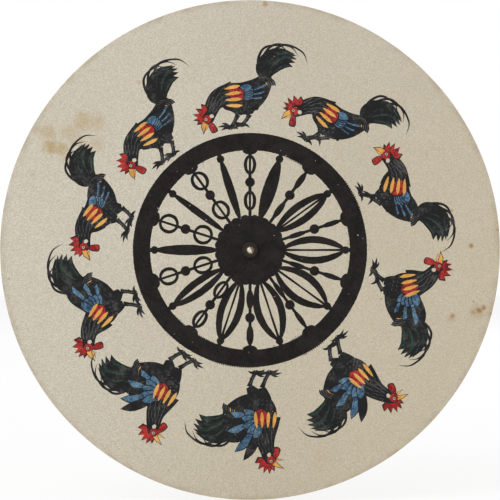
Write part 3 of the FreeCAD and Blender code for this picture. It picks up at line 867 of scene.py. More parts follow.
def ink_finish(name, deep, pale, grain, pinholes, pooling=0.5, palest=0.62, shading=0.0):
    """A printed or brushed colour on the old paper, which shows through its pinholes."""
    finish, weave = on_paper(name, 0.82)
    bare = finish.tint
    fleck = finish.noise(grain, 3.0, 0.75)
    depth = finish.times(finish.noise(0.16, 3.0, 0.6), pooling, finish.times(fleck, 1 - pooling))
    finish.tones(deep, pale, depth, palest - 0.26, palest)
    if shading:
        crayon = finish.span(finish.noise(1.1, 2.0, 0.8), 0.45, 0.60, 0.0, shading)
        pressed = finish.span(finish.noise(0.3, 1.0), 0.35, 0.58, 0.3, 1.0)
        finish.wash((36, 34, 38), finish.times(crayon, pressed))
    finish.wash(bare, finish.noise(0.85 * grain, 1.0), 0.80 - pinholes, 0.87 - pinholes, 0.0, 0.8)
    return finish.done(fleck, 0.015, 0.3)


bare_paper, weave = on_paper("foxed_print_paper", 0.9)
ink_materials = {
    "paper": bare_paper.done(weave, 0.02, 0.35),
    "solid": ink_finish("litho_black", (26, 24, 23), (40, 37, 35), 0.9, 0.03),
    "figure": ink_finish("crayon_black", (33, 33, 34), (82, 80, 78), 0.9, 0.03, 0.55, 0.73),
    "scratch": ink_finish("crayon_scraped", (60, 60, 63), (100, 99, 97), 1.2, 0.03),
    "blue": ink_finish("wash_blue", (48, 78, 106), (106, 140, 164), 0.8, 0.05, 0.4, shading=0.6),
    "red": ink_finish("wash_red", (146, 36, 35), (194, 60, 54), 0.9, 0.03, shading=0.85),
    "ochre": ink_finish("wash_ochre", (206, 146, 68), (230, 176, 98), 0.6, 0.0, shading=0.16),
    "green": ink_finish("wash_green", (30, 44, 40), (58, 80, 68), 0.8, 0.03),
}
print("inks on the sheet:", ", ".join(ink_materials))

# %% [markdown]
# ## Putting a piece in its place
#
# Each finished mesh becomes one object at the origin, rides on its body and stands for one piece of the
# construction. Doing it in one function keeps every piece alike: smooth where it is turned, crisp at its
# edges, and compared with the piece that it stands for.

# %% Place a piece, and hang the sheet
def in_scene(name, data):
    thing = bpy.data.objects.new(name, data)
    bpy.context.scene.collection.objects.link(thing)
    return thing


def placed(mesh, body, node, material=None, crisp=32):
    """Makes an object of a finished mesh and puts it on its body in a construction piece's stead."""
    if material:
        mesh.materials.clear()
        mesh.materials.append(material)
    if crisp:
        mesh.shade_smooth()
        mesh.set_sharp_from_angle(angle=math.radians(crisp))
    piece = in_scene(mesh.name, mesh)
    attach(piece, body)
    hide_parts(node)
    corners = [map(pick, zip(*(v.co for v in mesh.vertices))) for pick in (min, max)]
    off = max(abs(a - b) for corner, built in zip(corners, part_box(node)) for a, b in zip(corner, built))
    print(f"{mesh.name}: {len(mesh.polygons)} faces, within {off / MM:.2f} mm of {node}")


for ink in INKS:
    sheet.materials.append(ink_materials[ink])
placed(sheet, "rotor", "printed_sheet", crisp=0)

# %% [markdown]
# ## Turned pieces
#
# Nearly everything else here was made on a lathe, so one function turns a section about the axis. A section
# goes round the cut face of the piece, as (radius, depth) points in millimetres, and the corners get a small
# radius, because a real edge always has one and it is what catches the light. The function also unrolls the
# surface into a flat map, a strip for each step of the section, as wide as the step is long.

# %% Sections
def eased(corners, steps=4):
    """A section whose corners are rounded: each corner is (radius, depth) or (radius, depth, rounding)."""
    section = []
    for i, (radius, depth, *rounding) in enumerate(corners):
        if not rounding:
            section.append((radius, depth))
            continue
        here = Vector((radius, depth))
        before, ahead = ((Vector(other[:2]) - here).normalized() * rounding[0]
                         for other in (corners[i - 1], corners[(i + 1) % len(corners)]))
        for t in (j / steps for j in range(steps + 1)):
            section.append(tuple(here + before * (1 - t) ** 2 + ahead * t ** 2))
    return section


def arc(start, middle, end, steps=12):
    """Points on the circle through three points, from start to end."""
    a, b, c = complex(*start), complex(*middle), complex(*end)
    w = (c - a) / (b - a)
    centre = (b - a) * (w - abs(w) ** 2) / (2j * w.imag) + a
    first, half, last = (cmath.phase(point - centre) for point in (a, b, c))
    turn = (last - first) % TURN
    if (half - first) % TURN > turn:
        turn -= TURN
    round_it = (centre + (a - centre) * cmath.exp(1j * turn * i / steps) for i in range(steps + 1))
    return [(point.real, point.imag) for point in round_it]


square = eased([(1, 0, 0.1), (2, 0, 0.1), (2, 1, 0.1), (1, 1, 0.1)])
print("a square section with its corners eased has", len(square), "points")

# %% The lathe
ON_AXIS = 1e-9
SIDES = 128


def outward(mesh):
    """The mesh with all its faces pointing outwards."""
    shell = bmesh.new()
    shell.from_mesh(mesh)
    bmesh.ops.recalc_face_normals(shell, faces=shell.faces)
    shell.to_mesh(mesh)
    shell.free()
    return mesh


def turned(name, section, sides=SIDES, reach=None):
    """Turns a section about the Y axis. A section that starts on the axis is solid, any other is a ring.

    reach(radius, depth, angle), if given, says how far from the axis the point of the section ends up."""
    vertices, rows = [], []
    for radius, depth in section:
        count = sides if radius > ON_AXIS else 1
        rows.append([len(vertices) + i % count for i in range(sides)])
        for angle in (TURN * i / sides for i in range(count)):
            out = reach(radius, depth, angle) if reach and count > 1 else radius
            vertices.append((out * MM * math.cos(angle), depth * MM, out * MM * math.sin(angle)))
    ends = list(zip(section, section[1:]))
    if section[0][0] > ON_AXIS:
        ends.append((section[-1], section[0]))
        rows.append(rows[0])
    lengths = [math.dist(start, end) for start, end in ends]
    faces, places = [], []
    for strip, (row, following) in enumerate(zip(rows, rows[1:])):
        low, high = sum(lengths[:strip]) / sum(lengths), sum(lengths[:strip + 1]) / sum(lengths)
        for i in range(sides):
            j, here, ahead = (i + 1) % sides, i / sides, (i + 1) / sides
            corners = {}
            for vertex, place in ((row[i], (here, low)), (row[j], (ahead, low)),
                                  (following[j], (ahead, high)), (following[i], (here, high))):
                corners.setdefault(vertex, place)
            faces.append(list(corners))
            places += corners.values()
    mesh = bpy.data.meshes.new(name)
    mesh.from_pydata(vertices, [], faces)
    for loop, place in zip(mesh.uv_layers.new(name="OFBake").data, places):
        loop.uv = place
    return outward(mesh)


def ring(bore, piece, *easing):
    """The section of a plain ring between the two faces of a piece, its four corners eased."""
    corners = ((bore, piece.front), (piece.radius, piece.front),
               (piece.radius, piece.back), (bore, piece.back))
    return eased([(*corner, ease) for corner, ease in zip(corners, easing)]) if easing else list(corners)


print("the lathe turns", SIDES, "sides, unless it is told otherwise")

# %% [markdown]
# ## Growing a piece with Geometry Nodes
#
# What repeats is grown: the leaves of the pasteboard, the flutes of the finger wheel, the notches of the nut
# and the brads of the ferrule. Each tree is built here, with its sizes as named inputs. The helper runs a
# tree on a mesh, with those inputs set by their sockets' identifiers, and hands back a plain mesh.

# %% Build and run a tree
def growing_tree(name, *sizes):
    """A Geometry Nodes tree with a mesh in, a mesh out and a named number for each size."""
    tree = bpy.data.node_groups.new(name, "GeometryNodeTree")
    tree.interface.new_socket("Mesh", in_out="OUTPUT", socket_type="NodeSocketGeometry")
    tree.interface.new_socket("Mesh", in_out="INPUT", socket_type="NodeSocketGeometry")
    tree.interface.new_socket("Finish", in_out="INPUT", socket_type="NodeSocketMaterial")
    for size in sizes:
        kind = "NodeSocketInt" if size in ("Count", "Seed") else "NodeSocketFloat"
        tree.interface.new_socket(size, in_out="INPUT", socket_type=kind)
    return Bench(tree), tree.nodes.new("NodeGroupInput").outputs


def close_tree(bench, inputs, grown):
    """Ends a tree: instances become real and the finish is set."""
    real = bench.add("GeometryNodeRealizeInstances", {0: grown})
    done = bench.add("GeometryNodeSetMaterial", {"Geometry": real, "Material": inputs["Finish"]})
    bench.tree.links.new(done, bench.tree.nodes.new("NodeGroupOutput").inputs[0])
    return bench.tree


def copies(bench, inputs, place=(0, 0, 0), **placing):
    """Ends a tree with copies of its mesh, as many as its Count."""
    points = bench.add("GeometryNodePoints", {"Count": inputs["Count"], "Position": place})
    placing.update(Points=points, Instance=inputs["Mesh"])
    return close_tree(bench, inputs, bench.add("GeometryNodeInstanceOnPoints", placing))


def grown(name, base, tree, finish, **sizes):
    """Runs a tree on a mesh and returns what it grew as a plain mesh."""
    worker = in_scene(name + "_worker", base)
    modifier = worker.modifiers.new("grow", "NODES")
    modifier.node_group = tree
    values = {"Finish": finish, **sizes}
    for socket in tree.interface.items_tree:
        if socket.in_out == "INPUT" and socket.name in values:
            modifier[socket.identifier] = values[socket.name]
    graph = bpy.context.evaluated_depsgraph_get()
    mesh = bpy.data.meshes.new_from_object(worker.evaluated_get(graph), preserve_all_data_layers=True,
                                           depsgraph=graph)
    mesh.name = name
    bpy.data.objects.remove(worker)
    print(f"{name}: grown to {len(mesh.polygons)} faces")
    return outward(mesh)


# %% [markdown]
# ## Pasteboard
#
# The card is stiff because sheets of coarse grey paper are pasted together. At the edge the leaves show as
# fine steps, since no knife cuts them all alike. So one leaf is turned, and the tree stacks copies of it,
# each a little smaller by a seeded chance.

# %% The leaves and their finish
LEAVES = 8
RAGGED_SHARE = 0.0016
core = measured("card_core")
leaf_thickness = (core.back - core.front) / LEAVES


def pasteboard():
    finish = Finish("pasteboard_leaves", Roughness=0.95, Specular_IOR_Level=PAPER_GLOSS)
    leaf = finish.calc("DIVIDE", finish.calc("SUBTRACT", finish.along("Y"), core.front), leaf_thickness)
    fibre = finish.noise(1.4, 4.0, 0.75, (1, 4, 1))
    finish.tones((128, 106, 78), (178, 156, 120), fibre, 0.35, 0.68)
    finish.wash((150, 138, 116), finish.noise(0.5, 1.0, 0.5, (0.05, 8, 0.05)), 0.4, 0.6, 0.0, 0.35)
    finish.wash((82, 64, 44), finish.calc("PINGPONG", leaf, 0.5), 0.0, 0.12, 0.6, 0.0)
    finish.wash((96, 78, 56), finish.noise(0.08, 3.0), 0.5, 0.7, 0.0, 0.4)
    return finish.done(fibre, 0.06, 0.6)


print(f"{LEAVES} leaves, each {leaf_thickness:.3f} mm thick")

# %% Stack the leaves
def leaf_tree():
    bench, inputs = growing_tree("stacked_leaves", "Count", "Seed", "Thickness", "Ragged")
    number = bench.add("GeometryNodeInputIndex")
    shrink = bench.calc("SUBTRACT", 1.0, inputs["Ragged"])
    size = bench.add("FunctionNodeRandomValue", {2: shrink, 3: 1.0, 7: number, 8: inputs["Seed"]}, 1)
    place = bench.xyz(y=bench.times(number, inputs["Thickness"]))
    return copies(bench, inputs, place, Scale=bench.xyz(size, 1.0, size))


def rubbed(radius, depth, angle):
    """The outer edge of a leaf, rubbed in here and there."""
    return radius - (radius > core.radius / 2) * rub((math.cos(angle) * 9, depth * 2, math.sin(angle) * 9))


leaf_size = SimpleNamespace(radius=core.radius, front=core.front, back=core.front + leaf_thickness)
leaf = turned("leaf", ring(HOLE_RADIUS, leaf_size), 288, rubbed)
stack = grown("pasteboard_core", leaf, leaf_tree(), pasteboard(), Count=LEAVES, Seed=4,
              Thickness=leaf_thickness * MM, Ragged=RAGGED_SHARE)
for loop, spot in zip(stack.loops, stack.uv_layers["OFBake"].data):
    spot.uv.y = (spot.uv.y + loop.vertex_index // len(leaf.vertices)) / LEAVES
placed(stack, "rotor", "card_core")

# %% [markdown]
# ## Backing paper
#
# The back carries a plain sheet, so that the card stays flat. Nobody looked at it, so its marks are those of
# use, foxing and a browned rim, and it is darker in a ring just outside the leather's edge.

# %% The back
BACK_EASE = 0.04
backing = measured("backing_sheet")
leather = measured("leather_washer")
back_paper = old_paper_group("old_back_paper", (198, 184, 152), (176, 156, 118), stains=False)


def backing_finish():
    finish, weave = on_paper("backing_paper", 0.92, back_paper)
    finish.wash((154, 120, 74), finish.noise(0.045, 6.0, 0.66), 0.52, 0.74, 0.0, 0.55)
    finish.wash((136, 96, 54), finish.noise(0.24, 0.6, 0.4), 0.70, 0.82, 0.0, 0.6)
    # a darker ring just outside the leather's edge, laid on in patches by the noise below
    near = finish.calc("ABSOLUTE", finish.calc("SUBTRACT", finish.radius(), leather.radius + 0.8))
    worn = finish.span(finish.noise(0.25, 4.0), 0.3, 0.6)
    finish.wash((112, 84, 58), finish.times(finish.span(near, 0.0, 2.6, 0.7, 0.0), worn))
    return finish.done(weave, 0.03, 0.5)


back_section = ring(HOLE_RADIUS, backing)
back_section[2] = (backing.radius - BACK_EASE, backing.back)
lining = turned("back_lining", back_section, 288, rubbed)
for loop, spot in zip(lining.loops, lining.uv_layers["OFBake"].data):
    corner = lining.vertices[loop.vertex_index].co / (2.06 * backing.radius * MM)
    spot.uv = (0.5 + corner.x, 0.5 + corner.z)
placed(lining, "rotor", "backing_sheet", backing_finish())

# %% [markdown]
# ## Metals
#
# The spindle is bright steel, the nut is brass that was blacked and has worn bright on its crests, and the
# ferrule, hub and bearing are old brass. Bare metal is metallic with a little roughness. A patina isn't: it
# is a thin dull skin, so where it lies the metal share goes down. Turning leaves fine rings round the axis,
# which are waves of the radius and depth.

# %% Metal finishes
TURNING_RINGS = 9.0


def metal(name, bright, dull, patina, roughness=0.28, marks=None):
    """Turned metal, with patina as the share of it that is dull, and marks, if any, laid over it."""
    finish = Finish(name)
    cloud = finish.noise(0.3, 4.0, 0.62)
    fine = finish.noise(2.2)
    level = finish.times(cloud, 0.7, finish.times(fine, 0.3))
    skin = finish.span(level, 0.58 - 0.3 * patina, 0.86 - 0.3 * patina)
    finish.tones(bright, dull, skin)
    finish.wear(Metallic=finish.span(skin, 0.0, 1.0, 1.0, 0.45),
                Roughness=finish.span(finish.calc("ADD", skin, fine), 0.2, 1.5, roughness, roughness + 0.34))
    if marks:
        marks(finish)
    along = finish.times(finish.calc("ADD", finish.radius(), finish.along("Y")), TURNING_RINGS, cloud)
    return finish.done(finish.calc("SINE", along), 0.004, 0.35)


old_brass = metal("turned_brass", (196, 156, 92), (118, 88, 50), 0.46)
bright_steel = metal("turned_steel", (206, 204, 198), (120, 104, 86), 0.12, 0.2)
print("metals:", old_brass.name, bright_steel.name)

# %% [markdown]
# ## Spindle
#
# A four millimetre rod, tapered to a nose and threaded behind it for the nut. A thread is a ridge that
# climbs one pitch in each turn. So the rod is turned with many rings along the thread, and each point's
# reach is set by how far it is along the ridge at its own angle.

# %% The spindle's thread
spindle = measured("spindle")
SPINDLE_RADIUS = 2.0
NOSE_RADIUS = 1.45
NOSE_TAPER = 0.7
NOSE_ROUNDING = 0.3
NOSE_CORNER = 0.09
CENTRE_DIMPLE = (0.42, 0.35)
THREAD_PITCH = 0.7
THREAD_DEPTH = 0.33
GROOVE_SHARE = 0.42
THREAD_END = spindle.front + 5.1
RINGS_TO_A_PITCH = 10
TAIL_CHAMFER = 0.4


def threaded(radius, depth, angle):
    if radius < SPINDLE_RADIUS - 1e-6 or depth > THREAD_END:
        return radius
    turn = ((depth - spindle.front) / THREAD_PITCH - angle / TURN) % 1.0
    groove = max(0.0, 1.0 - abs(turn - 0.5) / GROOVE_SHARE)
    return radius - THREAD_DEPTH * groove * min(1.0, (THREAD_END - depth) / THREAD_PITCH)


print(f"the thread has {(THREAD_END - spindle.front) / THREAD_PITCH:.1f} turns")

# %% Turn the spindle
def nose_tint_and_shade(finish):
    """A pale straw colour on the lower side of the nose, and painted shade, a dull grey-brown, on its upper
    right side.
    """
    right, up = finish.along("X"), finish.along("Z")
    nose = finish.span(finish.along("Y"), spindle.front + 0.5, spindle.front + 1.2, 1.0, 0.0)
    side = finish.span(finish.times(up, 0.55, right), 0.35, 0.8)
    finish.wash((206, 192, 150), finish.times(nose, finish.span(up, -1.3, 0.1, 0.75, 0.0)))
    # painted shade: the upper right side of the nose is made a dull grey-brown
    finish.wash((132, 116, 94), finish.times(nose, side))


nose_end = spindle.front + NOSE_TAPER
rings = int((THREAD_END - nose_end) / THREAD_PITCH * RINGS_TO_A_PITCH)
dimple_radius, dimple_depth = CENTRE_DIMPLE
spindle_section = [(0, spindle.front + dimple_depth), (dimple_radius, spindle.front)]
spindle_section += arc((NOSE_RADIUS - NOSE_ROUNDING, spindle.front),
                       (NOSE_RADIUS - NOSE_CORNER, spindle.front + NOSE_CORNER),
                       (NOSE_RADIUS, spindle.front + NOSE_ROUNDING), 5)
spindle_section += [(SPINDLE_RADIUS, between(nose_end, THREAD_END, i / rings)) for i in range(rings + 1)]
spindle_section += [(SPINDLE_RADIUS, spindle.back - TAIL_CHAMFER),
                    (SPINDLE_RADIUS - TAIL_CHAMFER, spindle.back), (0, spindle.back)]
placed(turned("spindle_rod", spindle_section, 64, threaded), "rotor", "spindle",
       metal("spindle_steel", (212, 210, 204), (128, 110, 90), 0.12, 0.24, nose_tint_and_shade))

# %% [markdown]
# ## Nut and washer
#
# The nut is small enough to turn with two fingertips and has notches round its edge for grip. The notches
# and the flutes of the finger wheel are the same idea: a round cutter that stands beside the edge and
# repeats round the axis. The tree moves every point that lies inside a cutter back to the cutter's surface,
# so the rule is written once and its sizes are inputs.

# %% A tree that flutes an edge
def fluting_tree():
    bench, inputs = growing_tree("fluted_edge", "Count", "Centre", "Cutter")
    position = bench.add("GeometryNodeInputPosition")
    parts = bench.add("ShaderNodeSeparateXYZ", {0: position}).node.outputs
    x, z, centre, cutter = parts["X"], parts["Z"], inputs["Centre"], inputs["Cutter"]
    reach = bench.calc("SQRT", bench.calc("ADD", bench.times(x, x), bench.times(z, z)))
    angle = bench.calc("ARCTAN2", x, z)
    sector = bench.calc("DIVIDE", TURN, inputs["Count"])
    nearest = bench.times(bench.calc("ROUND", bench.calc("DIVIDE", angle, sector)), sector)
    off = bench.calc("SUBTRACT", angle, nearest)
    beside = bench.times(centre, bench.calc("SINE", off))
    ahead = bench.times(centre, bench.calc("COSINE", off))
    under = bench.calc("SUBTRACT", bench.times(cutter, cutter), bench.times(beside, beside))
    wall = bench.calc("SUBTRACT", ahead, bench.calc("SQRT", bench.calc("MAXIMUM", under, 0.0)))
    share = bench.calc("DIVIDE", bench.calc("MINIMUM", reach, wall), bench.calc("MAXIMUM", reach, 1e-9))
    scale = bench.xyz(share, 1.0, share)
    moved = bench.add("ShaderNodeVectorMath", {0: position, 1: scale}, operation="MULTIPLY")
    shaped = bench.add("GeometryNodeSetPosition", {"Geometry": inputs["Mesh"], "Position": moved})
    return close_tree(bench, inputs, shaped)


fluting = fluting_tree()
print("the fluting tree has", len(fluting.nodes), "nodes")

# %% Blacked brass
nut = measured("clamp_nut")


def black_brass():
    """Blacked brass that has worn to bare metal on its crests and round its mouth."""
    finish = Finish("worn_black_brass", Specular_IOR_Level=0.2)
    radius = finish.radius()
    chance = finish.noise(1.6, 3.0, 0.6)
    crest = finish.span(radius, nut.radius - 0.22, nut.radius - 0.02)
    mouth = finish.span(radius, SPINDLE_RADIUS + 0.06, SPINDLE_RADIUS + 0.30, 0.6, 0.0)
    rubs = finish.times(finish.calc("MAXIMUM", crest, mouth), finish.span(chance, 0.38, 0.62, 0.25, 1.0))
    scuff = finish.span(finish.noise(0.9, 4.0, 0.7), 0.66, 0.76, 0.0, 0.3)
    worn = finish.calc("MAXIMUM", rubs, scuff)
    finish.tones((26, 25, 24), (42, 39, 36), chance)
    finish.wash((188, 150, 92), worn)
    finish.wear(Metallic=finish.span(worn, 0.0, 0.6, 0.1, 0.95),
                Roughness=finish.span(worn, 0.0, 1.0, 0.62, 0.34))
    return finish.done(chance, 0.01, 0.4)


worn_brass = black_brass()
print("the nut's finish has", len(worn_brass.node_tree.nodes), "nodes")

# %% The nut and its washer
NUT_NOTCHES = 30
NOTCH_RADIUS = 0.25
NUT_CHAMFER = 0.25
NUT_EASE = 0.06
THREAD_CLEARANCE = 0.04
WASHER_BORE = 2.1

washer = measured("front_washer")
bore = SPINDLE_RADIUS + THREAD_CLEARANCE
low, high = nut.front + NUT_CHAMFER, nut.back - NUT_CHAMFER
nut_section = eased([(bore, low), (bore + NUT_CHAMFER, nut.front, NUT_EASE),
                     (nut.radius - NUT_CHAMFER, nut.front, NUT_EASE), (nut.radius, low, NUT_EASE),
                     (nut.radius, high, NUT_EASE), (nut.radius - NUT_CHAMFER, nut.back, NUT_EASE),
                     (bore + NUT_CHAMFER, nut.back, NUT_EASE), (bore, high)])
notched = grown("notched_nut", turned("nut_blank", nut_section, NUT_NOTCHES * 10), fluting, worn_brass,
                Count=NUT_NOTCHES, Centre=nut.radius * MM, Cutter=NOTCH_RADIUS * MM)
placed(notched, "nut", "clamp_nut")
thin_washer = turned("thin_washer", ring(WASHER_BORE, washer, 0.05, 0.12, 0.05, 0.05), 96)
placed(thin_washer, "nut_washer", "front_washer",
       metal("washer_black", (70, 66, 60), (36, 34, 32), 0.9, 0.4))

# %% [markdown]
# ## Leather facing
#
# A leather disc behind the card grips it without bruising the paper. Leather has a pebbled grain on its face
# and a fibrous cut edge, a little swollen where it is squeezed. The pebbles are Voronoi cells whose borders
# sink and are painted darker, a painted shade in the creases, and the edge is paler because the dye doesn't
# reach it.

# %% The leather
LEATHER_BORE = 4.1
LEATHER_FLAT = 15.5
LEATHER_SWELL = 0.3
LEATHER_FRAY = 0.12


def leather_finish():
    finish = Finish("brown_leather", Roughness=0.62, Specular_IOR_Level=0.35)
    cells = finish.add("ShaderNodeTexVoronoi", {"Vector": finish.place, "Scale": 1.9, "Randomness": 0.9},
                       feature="DISTANCE_TO_EDGE")
    crease = finish.span(cells, 0.0, 0.22)
    finish.tones((74, 42, 26), (122, 76, 46), finish.noise(0.18, 4.0, 0.6), 0.35, 0.68)
    # painted shade: the creases between the pebbles are painted dark brown
    finish.tones((46, 26, 17), finish.tint, crease)
    fray = finish.noise(1.8, 4.0, 0.8, (1, 3, 1))
    cut_edge = finish.mixed(fray, (104, 66, 42), (160, 116, 78))
    finish.wash(cut_edge, finish.radius(), leather.radius - 0.5, leather.radius - 0.1)
    return finish.done(finish.times(fray, 0.4, crease), 0.08, 0.7)


def cut_leather(radius, depth, angle):
    place = (math.cos(angle) * 5, depth * 1.5, math.sin(angle) * 5)
    return radius - (radius > leather.radius / 2) * rub(place, LEATHER_FRAY)


edge = leather.radius - LEATHER_SWELL
leather_section = [(LEATHER_BORE, leather.front), (LEATHER_FLAT, leather.front)]
leather_section += arc((edge, leather.front), (leather.radius, (leather.front + leather.back) / 2),
                       (edge, leather.back), 8)
leather_section += [(LEATHER_FLAT, leather.back), (LEATHER_BORE, leather.back)]
placed(turned("leather_facing", leather_section, 160, cut_leather), "rotor", "leather_washer",
       leather_finish())

# %% [markdown]
# ## Finger wheel
#
# The boxwood wheel behind the card is what the finger flicks. It was turned from a slice with the heart of
# the tree near its middle, so growth rings run round it. Fingers have polished its crests, and the bottoms of
# the flutes are darker. The flutes come from the same tree as the nut's notches.

# %% Boxwood
HEART = (6.0, 0.0, -9.0)
wheel = measured("finger_wheel")


def boxwood_finish():
    finish = Finish("polished_boxwood", Coat_Weight=0.25, Coat_Roughness=0.3)
    place = finish.swayed(finish.noise(0.12, 3.0, out=1), 2.2, (1, 0.15, 1))
    growth = finish.calc("SINE", finish.times(finish.vector("DISTANCE", place, HEART, out=1), 3.6))
    pore = finish.noise(1.3, 3.0, 0.7, (1, 0.2, 1))
    finish.tones((208, 166, 98), (176, 128, 66), growth, -1.0, 1.0, 0.15, 0.55)
    finish.wash((134, 92, 46), pore, 0.5, 0.72, 0.0, 0.5)
    low = finish.span(finish.radius(), wheel.radius - 0.9, wheel.radius - 0.15, 1.0, 0.0)
    rim = finish.span(finish.radius(), wheel.radius - 2.6, wheel.radius - 1.1)
    # the bottoms of the flutes are darker and rougher, in patches
    flute_bottoms = finish.times(finish.times(low, rim), finish.span(pore, 0.3, 0.55, 0.35, 0.85))
    finish.wash((84, 54, 30), flute_bottoms)
    finish.wear(Roughness=finish.span(finish.calc("ADD", flute_bottoms, pore), 0.3, 1.2, 0.38, 0.66))
    return finish.done(finish.times(growth, 0.03, pore), 0.03, 0.5)


boxwood = boxwood_finish()
print("boxwood has", len(boxwood.node_tree.nodes), "nodes")

# %% The finger wheel
FLUTES = 24
FLUTE_RADIUS = 1.5
FLUTE_DEPTH = 1.0
WHEEL_ROUNDING = 0.8
WHEEL_BORE = 4.02
# Each turned line in the back face: its radius, width and depth.
TURNED_LINES = ((14.6, 0.7, 0.3), (13.4, 0.7, 0.3), (9.0, 0.9, 0.35))

wheel_section = eased([(WHEEL_BORE, wheel.front), (wheel.radius, wheel.front, WHEEL_ROUNDING),
                       (wheel.radius, wheel.back, WHEEL_ROUNDING)], 6)
for radius, width, cut in TURNED_LINES:
    wheel_section += arc((radius + width / 2, wheel.back), (radius, wheel.back - cut),
                         (radius - width / 2, wheel.back), 6)
wheel_section.append((WHEEL_BORE, wheel.back))
cutter_at = wheel.radius - FLUTE_DEPTH + FLUTE_RADIUS
fluted = grown("fluted_wheel", turned("wheel_blank", wheel_section, FLUTES * 16), fluting, boxwood,
               Count=FLUTES, Centre=cutter_at * MM, Cutter=FLUTE_RADIUS * MM)
placed(fluted, "rotor", "finger_wheel")

# %% [markdown]
# ## Hub, pin and running washer
#
# A brass hub carries the wheel and is held to the spindle by a pin across it, hammered flush and filed. The
# washer behind it takes the rubbing. These are plain turned parts, so the lathe makes them all.

# %% Hub, pin and washer
hub = measured("wheel_hub")
thrust = measured("thrust_washer")
SPINDLE_CLEARANCE = 0.03
HUB_TUBE_RADIUS = 4.0
FLANGE_CHAMFER = 0.8
PIN_RADIUS = 0.75
PIN_PROUD = 0.06
PIN_EASE = 0.1

hub_bore = SPINDLE_RADIUS + SPINDLE_CLEARANCE
hub_section = eased([(hub_bore, hub.front), (HUB_TUBE_RADIUS, hub.front, 0.1), (HUB_TUBE_RADIUS, wheel.back),
                     (hub.radius, wheel.back, 0.12), (hub.radius, hub.back - FLANGE_CHAMFER, 0.15),
                     (hub.radius - FLANGE_CHAMFER, hub.back, 0.15), (hub_bore, hub.back)])
placed(turned("brass_hub", hub_section), "rotor", "wheel_hub", old_brass)

low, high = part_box("wheel_pin")
half_pin = hub.radius + PIN_PROUD
pin = turned("hub_pin", eased([(0, -half_pin), (PIN_RADIUS, -half_pin + PIN_EASE, PIN_EASE),
                               (PIN_RADIUS, half_pin - PIN_EASE, PIN_EASE), (0, half_pin)]), 32)
for vertex in pin.vertices:
    vertex.co = (vertex.co.x, vertex.co.z + (low.y + high.y) / 2, -vertex.co.y)
placed(pin, "rotor", "wheel_pin", bright_steel)

placed(turned("running_washer", ring(WASHER_BORE, thrust, 0.08, 0.15, 0.15, 0.08), 96), "handle",
       "thrust_washer", old_brass)

# %% [markdown]
# ## Bearing and ferrule
#
# The spindle runs in a brass bush let into the nose of the handle. A ferrule, a short brass tube with a
# lip, is driven over the nose so that the wood can't split, and three brads hold it. Scribed lines and a
# rolled bead at its mouth are the turner's usual finish.

# %% Bearing bush and ferrule
bearing = measured("front_bearing")
ferrule = measured("ferrule")
SLEEVE_RADIUS = 3.5
BEARING_FLANGE = 1.5
BEARING_BORE = 2.04
FERRULE_RADIUS = 9.0
FERRULE_WALL = 1.0
FERRULE_LIP = 1.0
LIP_HOLE = 6.65
BEAD_LENGTH = 1.8
SCRIBE_WIDTH = 0.35
SCRIBE_DEPTH = 0.12
FRONT_SCRIBES = (2.6, 3.4)
BEAD_SCRIBE = 1.0

flange_back = bearing.front + BEARING_FLANGE
bearing_section = eased([(BEARING_BORE, bearing.front, 0.12), (bearing.radius, bearing.front, 0.2),
                         (bearing.radius, flange_back, 0.08), (SLEEVE_RADIUS, flange_back),
                         (SLEEVE_RADIUS, bearing.back, 0.1), (BEARING_BORE, bearing.back)])
placed(turned("bearing_bush", bearing_section, 96), "handle", "front_bearing", old_brass)

bead_front = ferrule.back - BEAD_LENGTH
lip_back = ferrule.front + FERRULE_LIP
inside = FERRULE_RADIUS - FERRULE_WALL
ferrule_section = eased([(LIP_HOLE, ferrule.front, 0.1), (FERRULE_RADIUS, ferrule.front, 0.5),
                         (FERRULE_RADIUS, ferrule.front + 2.0)])
for line in (*(ferrule.front + place for place in FRONT_SCRIBES), bead_front - BEAD_SCRIBE):
    ferrule_section += [(FERRULE_RADIUS, line - SCRIBE_WIDTH / 2), (FERRULE_RADIUS - SCRIBE_DEPTH, line),
                        (FERRULE_RADIUS, line + SCRIBE_WIDTH / 2)]
ferrule_section += arc((FERRULE_RADIUS, bead_front), (ferrule.radius, ferrule.back - BEAD_LENGTH / 2),
                       (FERRULE_RADIUS, ferrule.back - 0.05))
ferrule_section += [(inside, ferrule.back), (inside, lip_back), (LIP_HOLE, lip_back)]
placed(turned("brass_ferrule", ferrule_section, 160), "handle", "ferrule", old_brass)

# %% Brads, grown round the ferrule
BRADS = 3
BRAD_STATION = 9.0
BRAD_HEAD = 1.1
BRAD_SHANK = 0.6
BRAD_TIP = 5.3
BRAD_TOP = 9.5


def brad_tree():
    bench, inputs = growing_tree("brads_round_a_tube", "Count")
    turn = bench.calc("DIVIDE", bench.times(bench.add("GeometryNodeInputIndex"), TURN), inputs["Count"])
    return copies(bench, inputs, Rotation=bench.xyz(y=turn))


brad_section = [(0, BRAD_TOP)]
brad_section += arc((0.05, BRAD_TOP), (0.7 * BRAD_HEAD, BRAD_TOP - 0.16),
                    (BRAD_HEAD, FERRULE_RADIUS + 0.02), 6)
brad_section += [(BRAD_HEAD, FERRULE_RADIUS - 0.15), (BRAD_SHANK, FERRULE_RADIUS - 0.2),
                 (BRAD_SHANK, BRAD_TIP + 0.9), (0, BRAD_TIP)]
brad = turned("brad", brad_section, 28)
for vertex in brad.vertices:
    vertex.co = (vertex.co.x, vertex.co.z + (ferrule.front + BRAD_STATION) * MM, vertex.co.y)
brads = grown("ferrule_brads", brad, brad_tree(), old_brass, Count=BRADS)
placed(brads, "handle", "ferrule_pins")

# %% [markdown]
# ## Handle
#
# The handle is turned from a dark hardwood: a bead behind the ferrule, a slim neck, a swelling belly and a
# plain grip at the butt. Its grain runs along it, so the noise is stretched along the axis, with short dark
# pores. It was french polished, which is a clear coat over the wood, thinner where it has been held.

